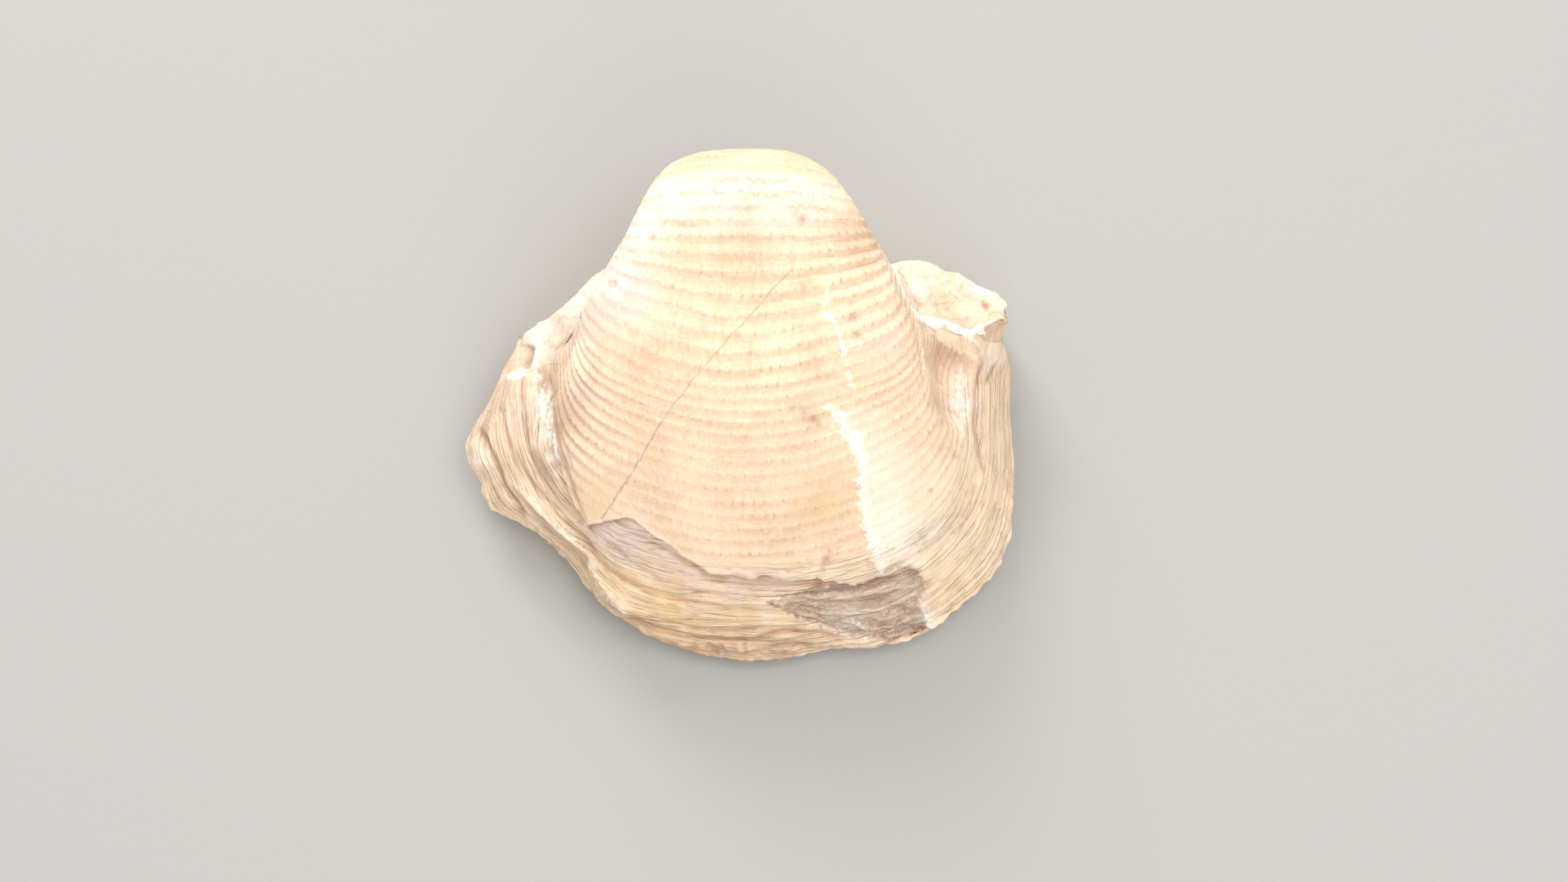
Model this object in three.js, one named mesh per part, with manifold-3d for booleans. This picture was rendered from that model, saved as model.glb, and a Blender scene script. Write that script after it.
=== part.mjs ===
// Echinoconchus semipunctatus: one valve of a fossil brachiopod, lying with its humped side up.
//
// The hump grew as a horn around the hinge line: every growth line is a rounded arch in a plane
// through that line, and each older arch is smaller and turned further back, up to the beak.
// In front of the hump the shell bends down into a skirt of thin layers, and behind it a bar of
// rock holds the two ears. All of it is one stone, so all of it is one solid.
//
// Millimetres. X runs along the hinge line, -Y is the front margin, +Z is up. Shell shapes are
// written in a frame on the middle of the hinge line, and HINGE puts that frame in the part.
import * as THREE from 'three';
import { mergeVertices } from 'three/addons/utils/BufferGeometryUtils.js';
import Module from 'manifold-3d';

const wasm = await Module();
wasm.setup();

// Place of the hinge line's middle above the middle of the resting face
const HINGE = new THREE.Vector3(1.3, 23.4, 12);

// The hump: a logarithmic spiral around the hinge line
const MARGIN_ANGLE = 3;            // degrees above level where the hump's last growth line lies
const MARGIN_RADIUS = 46.1;        // hinge line to the front at angle 0
const RADIUS_DECAY = 0.603;        // per radian
const MARGIN_HALF_WIDTH = 27.2;
const WIDTH_DECAY = 0.515;         // per radian
const ARCH_POWER = 2.35;           // superellipse power of the youngest arch
const ARCH_POWER_DROP = 0.41;      // per radian: older arches are more pointed
const ARCH_POWER_LEAST = 1.75;
const SPRING_SHARE = 0.594;        // share of the radius at which an arch is widest
const SPRING_SHARE_RISE = 0.073;   // per radian
const ROOT_SHARE = 0.06;           // share of the radius where an arch closes at the hinge line
const ROOT_POWER = 3;
const BEAK_START = 150;            // degrees: from here the arches shrink to the beak
const BEAK_END = 206;
const BEAK_TIP = 0.4;              // degrees of the beak's end that are left open and closed flat
const BEAK_BARE = 4;               // degrees without bands at the beak's start
const SULCUS_DEPTH = 0.5;          // shallow furrow down the middle of the hump
const SULCUS_HALF_WIDTH = 4.5;
const LEAN = -0.8;                 // the older half of the hump sits a little to the left
const LEAN_START = 60;             // degrees
const LEAN_END = 130;

// Growth bands across the hump
const FRONT_BAND = 1.75;           // width of the bands near the margin
const MIDDLE_BAND = 2.35;
const BANDS_WIDEN_FROM = 22;       // degrees
const BANDS_WIDEN_TO = 48;
const CROWDED_RADIUS = 15.4;       // towards the beak, bands narrow once the spiral is this tight
const CROWDING_POWER = 0.8;
const BAND_RELIEF = 0.3;
const BAND_CREST = 0.4;            // share of a band between its front groove and its crest

// The skirt: three lines around it at matching stations. Each station gives its angle on the
// arch and the points of the shelf under the hump, the crest and the outer edge.
const SKIRT = [
  { at: -50, shelf: [22.5, -8.0, -1.5], crest: [23.5, -8.0, -3], edge: [24.5, -8.5, -6] },
  { at: -12, shelf: [27.9, -16.6, 0.5], crest: [29.3, -16.3, -0.5], edge: [32.7, -13.3, -7] },
  { at: 0, shelf: [28.4, -26.0, 0.1], crest: [29.8, -25.7, -1.2], edge: [33.5, -23.9, -8] },
  { at: 15, shelf: [27.4, -33.2, -0.5], crest: [29.2, -33.9, -2.0], edge: [33.7, -32.4, -8.5] },
  { at: 30, shelf: [24.3, -39.3, -0.8], crest: [27.3, -40.5, -3.0], edge: [32.4, -40.8, -9] },
  { at: 45, shelf: [19.7, -44.0, -0.7], crest: [23.2, -45.4, -3.8], edge: [27.2, -47.4, -9] },
  { at: 60, shelf: [14.2, -46.7, -0.7], crest: [16.8, -49.1, -4.6], edge: [19.6, -51.9, -9.2] },
  { at: 75, shelf: [8.2, -47.7, -0.7], crest: [9.2, -50.2, -5.0], edge: [10.3, -52.9, -9.5] },
  { at: 90, shelf: [-0.6, -47.8, -0.7], crest: [-0.7, -50.8, -5.2], edge: [0.1, -54.6, -9.8] },
  { at: 105, shelf: [-7.8, -46.7, -0.6], crest: [-8.5, -50.3, -5.0], edge: [-8.2, -53.0, -9.4] },
  { at: 118, shelf: [-13.4, -44.5, -0.6], crest: [-15.5, -48.6, -3.4], edge: [-15.9, -49.5, -8.5] },
  { at: 130, shelf: [-18.4, -42.0, -0.4], crest: [-19.6, -43.7, -3.0], edge: [-21.1, -44.7, -8] },
  { at: 143, shelf: [-23.0, -38.0, -0.2], crest: [-25.1, -38.6, -2.8], edge: [-26.8, -38.6, -7.5] },
  { at: 160, shelf: [-27.2, -31.3, 0.2], crest: [-30.6, -32.2, -2.5], edge: [-33.6, -34.6, -6.5] },
  { at: 178, shelf: [-29.2, -24.0, 0.6], crest: [-33.0, -26.9, -2.6], edge: [-36.4, -27.4, -5.6] },
  { at: 190, shelf: [-28.6, -17.7, 0.8], crest: [-31.1, -20.0, -2.4], edge: [-33.4, -21.6, -5.2] },
  { at: 202, shelf: [-26.2, -12.8, 0.2], crest: [-28.0, -13.1, -2.6], edge: [-29.3, -12.7, -4.8] },
  { at: 235, shelf: [-20.5, -10.0, -1.5], crest: [-20.5, -10.5, -3], edge: [-20.5, -11.0, -6] },
  { at: 270, shelf: [0, -3.0, -1], crest: [0, -3.0, -3], edge: [0, -3.0, -6] },
];
const FOOT_INSET = 1.6;            // the skirt's foot lies inside its outer edge by this much
const RIM_INSET = 3.4;
const FOOT_HEIGHT = 2.2;           // above the resting face
const RIM_HEIGHT = 0.7;
const REST_SHARE = 0.62;           // size of the flat spot it rests on, as a share of the rim
const LAMINA_RELIEF = 0.22;

// Broken edge of the outer layer, from the left side round to the front, as plan points
const BROKEN_EDGE = [
  [-21.5, -15.8], [-24.5, -21.8], [-23.7, -27.0], [-22.0, -33.2], [-19.4, -39.5],
  [-14.7, -39.3], [-4.7, -45.5], [8.1, -46.2], [13.1, -46.6], [21.1, -43.9],
];
const BROKEN_STEP = 1.2;
const STEP_BLEND = 0.5;            // half width of the step
const STEP_REACH = 5;              // the layers under the step rise again over this distance
const STEP_FADES_FROM = 10;        // the step dies out to the right between these places on X
const STEP_FADES_TO = 20;
const RELIEF_FROM = -9;            // side relief grows between these heights
const RELIEF_TO = -5;

// Furrows and ridges that run along the sides: plan points, half width, height
const SIDE_LINES = [
  { line: [[23.3, -14.5], [24.5, -21.5], [25.0, -28.5]], halfWidth: 2.4, height: -2.2 },
  { line: [[-23.0, -16.9], [-24.4, -20.3], [-23.7, -27.0], [-21.8, -33.6]], halfWidth: 0.9, height: -0.8 },
  { line: [[-26.8, -15.0], [-26.8, -24.0], [-25.3, -29.5], [-23.4, -33.8]], halfWidth: 1.1, height: 1.3 },
];

// The bar of rock behind the hump, as cross-sections along X: the foot and top of its front
// face, the back of its top face and the back of its foot
const HINGE_BAR = [
  { x: -29.2, front: [-13.6, -7], top: [-13.4, -1.8], back: [-12.8, -2.4], foot: [-12.6, -7.5] },
  { x: -27.6, front: [-16.5, -8.5], top: [-16.2, 0.6], back: [-12.6, 0.4], foot: [-12.0, -9.5] },
  { x: -24.6, front: [-17.6, -9], top: [-17.4, 3.2], back: [-10.8, 3.0], foot: [-10.2, -10.6] },
  { x: -21.5, front: [-16.5, -9], top: [-15.9, 5.4], back: [-9.2, 5.0], foot: [-8.4, -11.0] },
  { x: -18.0, front: [-14, -9], top: [-13.0, 7.5], back: [-6.6, 6.5], foot: [-5.4, -11.2] },
  { x: -10.0, front: [-9, -9], top: [-8.0, 6.5], back: [-0.6, 3.5], foot: [1.5, -11.2] },
  { x: 0.0, front: [-9, -9], top: [-5.0, 4.5], back: [1.2, 3.4], foot: [3.6, -11.2] },
  { x: 10.0, front: [-9, -9], top: [-8.0, 6.0], back: [-1.0, 2.0], foot: [1.5, -11.2] },
  { x: 16.6, front: [-14, -9], top: [-11.0, 6.5], back: [-4.4, -0.6], foot: [-3.0, -11.2] },
  { x: 21.5, front: [-16.4, -9], top: [-13.4, 5.0], back: [-3.6, 2.5], foot: [-3.0, -11.2] },
  { x: 27.5, front: [-17.8, -9], top: [-15.2, 5.0], back: [-5.4, 2.0], foot: [-5.0, -11.0] },
  { x: 31.4, front: [-15.8, -9], top: [-13.8, 5.0], back: [-8.6, 1.0], foot: [-8.6, -10.4] },
  { x: 32.8, front: [-14.2, -8], top: [-12.6, 4.0], back: [-9.8, 0.5], foot: [-10.4, -8.6] },
];

// Broken faces: what stood above them is gone. Each is a loop of points, clockwise from above,
// round its middle
const BREAKS = [
  { // the left shoulder, sloping back from a sharp edge under the hump's side
    middle: [-23.2, -12.4, 1.2],
    loop: [
      [-17.6, -7.4, 3.2], [-18.6, -13.0, 6.4], [-21.5, -15.8, 4.9], [-24.8, -17.4, 2.8],
      [-28.8, -17.6, -0.6], [-34, -17, -4.5], [-34, -8, -7], [-26, -2, -6], [-17.2, 0, -1],
    ],
  },
  { // the right ear, hollowed behind a bright crest
    middle: [26.0, -9.4, -0.8],
    loop: [
      [28, 1, -5], [36, -4, -5], [36, -12, 0], [32.4, -12.4, 2.0], [30.2, -13.6, 3.2],
      [27.5, -15.2, 3.6], [23.5, -14.0, 3.5], [20.8, -13.2, 3.6], [19.4, -9.2, 1.8],
      [17.9, -4.2, -1.2], [17.6, 1, -4],
    ],
  },
];
const BREAK_TOP = 30;

// Fineness of the faceted surface
const STATION_COLUMNS = 2;         // columns between two stations of the skirt
const SKIRT_ROWS = 3;              // rows between two lines of the skirt
const BEAK_ROWS = 5;

const SHELL_COLOUR = 0xe9cfae;

const DEGREE = Math.PI / 180;
const signedPower = (value, power) => Math.sign(value) * Math.abs(value) ** power;
const mix = THREE.MathUtils.lerp;

// A point of the growth line at an angle about the hinge line, at a station round its arch
function humpPoint(growthDegrees, station) {
  const growth = growthDegrees * DEGREE;
  const radius = MARGIN_RADIUS * Math.exp(-RADIUS_DECAY * growth);
  const halfWidth = MARGIN_HALF_WIDTH * Math.exp(-WIDTH_DECAY * growth);
  const power = Math.max(ARCH_POWER - ARCH_POWER_DROP * growth, ARCH_POWER_LEAST);
  const spring = radius * (SPRING_SHARE + SPRING_SHARE_RISE * growth);
  const beak = Math.max(0, (growthDegrees - BEAK_START) / (BEAK_END - BEAK_START));
  const taper = Math.sqrt(Math.max(0, 1 - beak * beak));

  const along = Math.cos(station * DEGREE);
  const across = Math.sin(station * DEGREE);
  const outer = across >= 0;
  const share = 2 / (outer ? power : ROOT_POWER);
  const x = halfWidth * taper * signedPower(along, share);
  const reach = outer ? radius - spring : spring - ROOT_SHARE * radius;
  const sulcus = outer ? SULCUS_DEPTH * taper * Math.exp(-((x / SULCUS_HALF_WIDTH) ** 2)) : 0;
  const r = spring + reach * taper * signedPower(across, share) - sulcus;
  const lean = LEAN * THREE.MathUtils.smoothstep(growthDegrees, LEAN_START, LEAN_END);
  return new THREE.Vector3(x + lean, -r * Math.cos(growth), r * Math.sin(growth));
}

// Growth angles of the band grooves and crests, from the margin to the beak
function bandAngles() {
  const rows = [];
  let angle = MARGIN_ANGLE;
  while (angle < BEAK_START) {
    const radius = MARGIN_RADIUS * Math.exp(-RADIUS_DECAY * angle * DEGREE);
    const widened = THREE.MathUtils.smoothstep(angle, BANDS_WIDEN_FROM, BANDS_WIDEN_TO);
    const crowded = Math.min(1, (radius / CROWDED_RADIUS) ** CROWDING_POWER);
    const width = mix(FRONT_BAND, MIDDLE_BAND, widened) * crowded;
    const turn = width / (radius * Math.hypot(1, RADIUS_DECAY)) / DEGREE;
    rows.push({ angle, relief: 0 }, { angle: angle + turn * BAND_CREST, relief: BAND_RELIEF * crowded });
    angle += turn;
  }
  return rows;
}

// Closed curve through one line of the skirt, asked for by arch station
function skirtLine(name) {
  const points = SKIRT.map((station) => new THREE.Vector3(...station[name]));
  const curve = new THREE.CatmullRomCurve3(points, true, 'centripetal');
  const last = SKIRT.length - 1;
  return (station) => {
    const index = SKIRT.findLastIndex((entry) => entry.at <= station);
    const start = SKIRT[index].at;
    const end = index === last ? SKIRT[0].at + 360 : SKIRT[index + 1].at;
    return curve.getPoint(((index + (station - start) / (end - start)) / SKIRT.length) % 1);
  };
}

// Moves a point of a closed outline towards its middle, and to a height above the resting face
function insetPoint(point, centre, inset, height) {
  const out = new THREE.Vector2(point.x - centre.x, point.y - centre.y);
  out.setLength(out.length() - inset);
  return new THREE.Vector3(centre.x + out.x, centre.y + out.y, height - HINGE.z);
}

// Plan distance from a point to a line of plan points, and the side of the line it is on
function lineDistance(point, line) {
  let best = { distance: Infinity, side: 1 };
  for (let i = 0; i + 1 < line.length; i += 1) {
    const [ax, ay] = line[i];
    const [dx, dy] = [line[i + 1][0] - ax, line[i + 1][1] - ay];
    const share = ((point.x - ax) * dx + (point.y - ay) * dy) / (dx * dx + dy * dy);
    const held = THREE.MathUtils.clamp(share, 0, 1);
    const [ex, ey] = [point.x - ax - held * dx, point.y - ay - held * dy];
    const distance = Math.hypot(ex, ey);
    if (distance < best.distance) best = { distance, side: Math.sign(dx * ey - dy * ex) || 1 };
  }
  return best;
}

// Height of the broken step, the side furrows and the side ridges at a point of the upper side
function sideRelief(point) {
  let relief = 0;
  for (const { line, halfWidth, height } of SIDE_LINES) {
    relief += height * Math.exp(-((lineDistance(point, line).distance / halfWidth) ** 2));
  }
  const broken = lineDistance(point, BROKEN_EDGE);
  const outside = broken.side < 0 ? broken.distance : -broken.distance;
  const fade = 1 - THREE.MathUtils.smoothstep(point.x, STEP_FADES_FROM, STEP_FADES_TO);
  const below = THREE.MathUtils.smoothstep(outside, -STEP_BLEND, STEP_BLEND);
  const reach = 1 - THREE.MathUtils.smoothstep(outside, STEP_BLEND, STEP_REACH);
  return relief - BROKEN_STEP * fade * below * reach;
}

// Rings of the hump and skirt, from the beak down to the resting face
function shellRings() {
  const lines = ['shelf', 'crest', 'edge'].map(skirtLine);
  const stations = SKIRT.flatMap(({ at }, i) => {
    const next = i + 1 < SKIRT.length ? SKIRT[i + 1].at : SKIRT[0].at + 360;
    return Array.from({ length: STATION_COLUMNS }, (_, k) => mix(at, next, k / STATION_COLUMNS));
  });

  const rings = [];
  for (let row = 0; row < BEAK_ROWS; row += 1) {
    const angle = mix(BEAK_END - BEAK_TIP, BEAK_START + BEAK_BARE, Math.sqrt(row / BEAK_ROWS));
    rings.push(stations.map((at) => ({ point: humpPoint(angle, at), relief: 0 })));
  }
  for (const { angle, relief } of bandAngles().reverse()) {
    rings.push(stations.map((at) => ({ point: humpPoint(angle, at), relief })));
  }
  const levels = [(at) => humpPoint(MARGIN_ANGLE, at), ...lines];
  for (let level = 0; level + 1 < levels.length; level += 1) {
    for (let row = 1; row <= SKIRT_ROWS; row += 1) {
      const relief = row % 2 === 1 ? LAMINA_RELIEF : 0;
      const blend = (at) => levels[level](at).lerp(levels[level + 1](at), row / SKIRT_ROWS);
      rings.push(stations.map((at) => ({ point: blend(at), relief })));
    }
  }

  const outline = stations.map(lines[2]);
  const centre = outline.reduce((sum, p) => sum.add(p), new THREE.Vector3()).divideScalar(outline.length);
  const inset = (amount, height) => outline.map((p) => insetPoint(p, centre, amount, height));
  const rim = inset(RIM_INSET, RIM_HEIGHT);
  const rest = rim.map((p) => p.clone().lerp(centre, 1 - REST_SHARE).setZ(-HINGE.z));
  for (const ring of [inset(FOOT_INSET, FOOT_HEIGHT), rim, rest]) {
    rings.push(ring.map((point) => ({ point, relief: 0, plain: true })));
  }
  return rings;
}

// Moves each ring point along the surface's normal by its relief
function reliefApplied(rings) {
  const count = rings[0].length;
  const at = (i, j) => rings[THREE.MathUtils.clamp(i, 0, rings.length - 1)][(j + count) % count].point;
  return rings.map((ring, i) => ring.map(({ point, relief, plain }, j) => {
    if (plain) return point;
    const down = at(i + 1, j).clone().sub(at(i - 1, j));
    const round = at(i, j + 1).clone().sub(at(i, j - 1));
    const normal = round.cross(down).normalize();
    const upper = THREE.MathUtils.smoothstep(point.z, RELIEF_FROM, RELIEF_TO);
    return point.clone().addScaledVector(normal, relief + upper * sideRelief(point));
  }));
}

// Closed solid through rings of points, with a fan over each end ring
function ringSolid(rings) {
  const count = rings[0].length;
  const middle = (ring) => ring.reduce((sum, p) => sum.add(p), new THREE.Vector3()).divideScalar(count);
  const points = [...rings.flat(), middle(rings[0]), middle(rings.at(-1))];
  const index = [];
  const corner = (i, j) => i * count + (j % count);
  for (let j = 0; j < count; j += 1) {
    for (let i = 0; i + 1 < rings.length; i += 1) {
      index.push(corner(i, j), corner(i, j + 1), corner(i + 1, j));
      index.push(corner(i + 1, j), corner(i, j + 1), corner(i + 1, j + 1));
    }
    const end = rings.length - 1;
    index.push(rings.length * count, corner(0, j + 1), corner(0, j));
    index.push(rings.length * count + 1, corner(end, j), corner(end, j + 1));
  }
  const geometry = new THREE.BufferGeometry().setFromPoints(points);
  geometry.setIndex(index);
  return solidOf(geometry);
}

function solidOf(geometry) {
  geometry.deleteAttribute('normal');
  geometry.deleteAttribute('uv');
  const merged = mergeVertices(geometry, 1e-4);
  return new wasm.Manifold(new wasm.Mesh({
    numProp: 3,
    vertProperties: new Float32Array(merged.attributes.position.array),
    triVerts: new Uint32Array(merged.index.array),
  }));
}

// The bar of rock with the two ears: the broken right ear stands up, the left shoulder slopes
function hingeBar() {
  const rings = HINGE_BAR.map(({ x, front, top, back, foot }) => (
    [foot, back, top, front].map(([y, z]) => new THREE.Vector3(x, y, z))
  ));
  return ringSolid(rings);
}

// The space over a broken face, from the face up to well above the stone
function spaceAbove({ middle, loop }) {
  const [face, top] = [(p) => new THREE.Vector3(...p), (p) => new THREE.Vector3(p[0], p[1], BREAK_TOP)];
  const points = [face(middle), top(middle), ...loop.map(face), ...loop.map(top)];
  const index = [];
  const [first, count] = [2, loop.length];
  for (let i = 0; i < count; i += 1) {
    const [low, next] = [first + i, first + ((i + 1) % count)];
    index.push(0, low, next, 1, next + count, low + count);
    index.push(low, low + count, next, next, low + count, next + count);
  }
  const geometry = new THREE.BufferGeometry().setFromPoints(points);
  geometry.setIndex(index);
  return solidOf(geometry);
}

function geometryOf(solid) {
  const mesh = solid.getMesh();
  const geometry = new THREE.BufferGeometry();
  geometry.setAttribute('position', new THREE.BufferAttribute(mesh.vertProperties, 3));
  geometry.setIndex(new THREE.BufferAttribute(mesh.triVerts, 1));
  geometry.computeVertexNormals();
  return geometry;
}

const whole = ringSolid(reliefApplied(shellRings())).add(hingeBar());
const stone = BREAKS.reduce((solid, face) => solid.subtract(spaceAbove(face)), whole);

const fossil = new THREE.Mesh(
  geometryOf(stone),
  new THREE.MeshStandardMaterial({ color: SHELL_COLOUR, roughness: 0.8, metalness: 0 }),
);
fossil.name = 'fossil';
fossil.position.copy(HINGE);

const part = new THREE.Group();
part.name = 'echinoconchus';
part.add(fossil);

export default part;
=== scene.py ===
# Echinoconchus semipunctatus: one valve of a fossil brachiopod, finished in place of its plain solid.
#
# The hump, the skirt of layers in front of it and the bar of rock behind it are built again here
# from the values of the plain solid, finely enough to carry their bands, layers, furrows and
# broken edges, and joined into one stone. Its surface then carries the coordinates that the
# material needs: the count of growth bands, the count of spine bases along a band, the depth in
# the skirt's layers, and how far each point lies from the marks seen in the photograph.
#
# Shapes are in millimetres in a frame on the middle of the hinge line, until they become meshes.
from dataclasses import dataclass
from functools import reduce

import bpy
import numpy as np
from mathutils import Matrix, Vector, kdtree


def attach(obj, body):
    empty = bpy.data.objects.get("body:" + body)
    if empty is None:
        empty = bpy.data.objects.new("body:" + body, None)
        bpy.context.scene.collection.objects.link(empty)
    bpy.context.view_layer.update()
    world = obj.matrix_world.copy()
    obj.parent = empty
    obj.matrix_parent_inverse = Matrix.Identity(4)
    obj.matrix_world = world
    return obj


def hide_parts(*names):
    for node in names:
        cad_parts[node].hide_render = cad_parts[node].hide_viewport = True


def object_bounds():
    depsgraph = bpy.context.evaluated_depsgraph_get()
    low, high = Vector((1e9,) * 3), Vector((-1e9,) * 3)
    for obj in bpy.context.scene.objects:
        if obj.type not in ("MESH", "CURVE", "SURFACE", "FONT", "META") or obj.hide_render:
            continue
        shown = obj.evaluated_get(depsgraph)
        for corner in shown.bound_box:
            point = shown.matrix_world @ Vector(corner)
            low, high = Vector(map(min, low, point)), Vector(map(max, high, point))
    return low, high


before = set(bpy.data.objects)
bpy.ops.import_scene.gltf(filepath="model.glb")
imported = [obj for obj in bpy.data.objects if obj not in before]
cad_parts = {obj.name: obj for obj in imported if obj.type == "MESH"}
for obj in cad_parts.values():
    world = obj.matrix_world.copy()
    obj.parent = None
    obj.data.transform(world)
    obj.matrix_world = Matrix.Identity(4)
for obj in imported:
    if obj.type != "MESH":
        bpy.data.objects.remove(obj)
CAD_BOX = [list(corner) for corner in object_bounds()]

MM = 0.001
HINGE = np.array([1.3, 23.4, 12.0])

# The photograph's view
PICTURE = (1920, 1080)
SENSOR = 36.0
LENS = 50.0
ELEVATION = 76.0
CAMERA = np.array([4.172, -93.646, 262.933])
PIXELS_PER_MM = 9.6
# Where it shows the shell: how squarely the surface faces the camera, growth angles, levels of the
# skirt and Y; and where it shows the whole stone: facing, Y and Z
SEEN_FACING = (0.03, 0.2)
SEEN_ANGLES = (110, 104)
SEEN_LEVELS = (3.6, 3.1)
SEEN_IN_FRONT_OF = -4
SHOWN_FACING = (0.0, 0.15)
SHOWN_Y = (2.0, 0.0)
SHOWN_ABOVE = -8.0

# The hump: a logarithmic spiral around the hinge line, with an arch for every growth line
MARGIN_ANGLE = 3.0
MARGIN_RADIUS = 46.1
RADIUS_DECAY = 0.603
MARGIN_HALF_WIDTH = 27.2
WIDTH_DECAY = 0.515
ARCH_POWER = 2.35
ARCH_POWER_DROP = 0.41
ARCH_POWER_LEAST = 1.75
SPRING_SHARE = 0.594
SPRING_SHARE_RISE = 0.073
ROOT_SHARE = 0.06
ROOT_POWER = 3.0
BEAK_START = 150.0
BEAK_END = 206.0
BEAK_TIP = 0.4
SULCUS_DEPTH = 0.5
SULCUS_HALF_WIDTH = 4.5
LEAN = -0.8
LEAN_ANGLES = (60.0, 130.0)

# Growth bands across the hump
MIDDLE_BAND = 2.35
CROWDED_RADIUS = 15.4
CROWDING_POWER = 0.8
CRESTS_TO = BEAK_START + 20
BAND_RELIEF = 0.26
BAND_CREST = 0.4
BAND_ROUNDNESS = 1.3
BANDS_FADE = (BEAK_START + 8, BEAK_START - 4)
SPINE_SPACING = 1.2                # between neighbouring spine bases on a band
SPINE_RELIEF = 0.05
SPINE_WIDTH = 0.1                  # share of a band
# Rows of the photograph in which the bands' crests cross the middle of the hump, from the front
BAND_ROWS = [
    693, 678, 661, 647, 631, 614, 598, 580, 564, 549, 532, 517, 502, 489, 474, 455, 433, 410, 388, 363,
    336, 313, 290, 269, 252, 234, 216, 202, 191,
]
# The bands sag in the middle of the hump: middle, half width in mm, depth in bands, and the bands
# over which the sag fades out towards the top
BAND_SAG = (-0.8, 9.9, 1.05)
SAG_FADES = (24, 19)
# How much the bands stand out, how that varies at random and from band to band, and its least
BAND_STRENGTH = 0.34
STRENGTH_VARIES = (0.6, 0.3)
STRENGTH_LEAST = 0.04
# Where they stand out or are worn away: pixel x and y, radius in mm, change of their strength
BAND_WEAR = [
    (1045, 290, 6, 0.7), (800, 430, 5, -0.16), (805, 590, 5.5, -0.16), (1085, 400, 5, 0.3),
    (1115, 480, 5, 0.35), (700, 455, 4, 0.7), (705, 520, 4.5, 0.45), (860, 240, 7, 0.5),
    (960, 245, 7, 0.45), (930, 320, 7, 0.1), (900, 215, 8, 0.4), (760, 310, 4, 0.1),
    (785, 500, 5.5, -0.12), (860, 370, 6, -0.1), (960, 465, 5, 0.2), (870, 570, 8, -0.08),
    (930, 650, 6, 0.15), (1090, 620, 6, -0.1), (725, 615, 4, -0.3), (940, 700, 3, -0.15),
]

# The skirt: its stations round the arch, with a point of the shelf, the crest and the outer edge
SKIRT = [
    (-50, (22.5, -8.0, -1.5), (23.5, -8.0, -3), (24.5, -8.5, -6)),
    (-12, (27.9, -16.6, 0.5), (29.3, -16.3, -0.5), (32.7, -13.3, -7)),
    (0, (28.4, -26.0, 0.1), (29.8, -25.7, -1.2), (33.5, -23.9, -8)),
    (15, (27.4, -33.2, -0.5), (29.2, -33.9, -2.0), (33.7, -32.4, -8.5)),
    (30, (24.3, -39.3, -0.8), (27.3, -40.5, -3.0), (32.4, -40.8, -9)),
    (45, (19.7, -44.0, -0.7), (23.2, -45.4, -3.8), (27.2, -47.4, -9)),
    (60, (14.2, -46.7, -0.7), (16.8, -49.1, -4.6), (19.6, -51.9, -9.2)),
    (75, (8.2, -47.7, -0.7), (9.2, -50.2, -5.0), (10.3, -52.9, -9.5)),
    (90, (-0.6, -47.8, -0.7), (-0.7, -50.8, -5.2), (0.1, -54.6, -9.8)),
    (105, (-7.8, -46.7, -0.6), (-8.5, -50.3, -5.0), (-8.2, -53.0, -9.4)),
    (118, (-13.4, -44.5, -0.6), (-15.5, -48.6, -3.4), (-15.9, -49.5, -8.5)),
    (130, (-18.4, -42.0, -0.4), (-19.6, -43.7, -3.0), (-21.1, -44.7, -8)),
    (143, (-23.0, -38.0, -0.2), (-25.1, -38.6, -2.8), (-26.8, -38.6, -7.5)),
    (160, (-27.2, -31.3, 0.2), (-30.6, -32.2, -2.5), (-33.6, -34.6, -6.5)),
    (178, (-29.2, -24.0, 0.6), (-33.0, -26.9, -2.6), (-36.4, -27.4, -5.6)),
    (190, (-28.6, -17.7, 0.8), (-31.1, -20.0, -2.4), (-33.4, -21.6, -5.2)),
    (202, (-26.2, -12.8, 0.2), (-28.0, -13.1, -2.6), (-29.3, -12.7, -4.8)),
    (235, (-20.5, -10.0, -1.5), (-20.5, -10.5, -3), (-20.5, -11.0, -6)),
    (270, (0, -3.0, -1), (0, -3.0, -3), (0, -3.0, -6)),
]
FOOT_INSET = 1.6
RIM_INSET = 3.4
FOOT_HEIGHT = 2.2
RIM_HEIGHT = 0.7
REST_SHARE = 0.62

# Broken edge of the outer layer, from the left side round to the front, as plan points
BROKEN_EDGE = [
    (-25.2, -15.8), (-25.5, -21.8), (-25, -27), (-23.5, -33.2), (-20.4, -39.6), (-14.7, -39.3),
    (-4.7, -45.5), (8.1, -46.2), (13.1, -46.6), (21.1, -43.9),
]
BROKEN_STEP = 1.2
STEP_BLEND = 0.16
STEP_REACH = 5.0
STEP_FADES = (10.0, 20.0)
STEP_IN_FRONT_OF = -14
UNDERCUT = 0.35                    # thin furrow at the foot of the broken edge
UNDERCUT_PLACE = 0.3
UNDERCUT_WIDTH = 0.28
RELIEF_RISES = (-9.0, -5.0)        # heights over which the relief of the sides sets in

# Layers of the skirt: depths over which they take over from the bands, how far they run under the
# broken edge, their height and thickness, coarse and medium, and how far both fade on the flanks
LAYERS_BEGIN = (-1.6, 0.8)
LAYERS_UNDER_EDGE = 9
COARSE_LAYERS = (0.34, 2.3)
MEDIUM_LAYERS = (0.13, 0.86)
FLANK_COARSE = 0.25
FLANK_MEDIUM = 0.5
THREADS = 0.05
DEPTH_EVENNESS = 0.55              # share of the mean depth in the depth of a layer
RIGHT_FLANK = (62, 40)             # stations round the arch
LEFT_FLANK = (138, 158)

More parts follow.
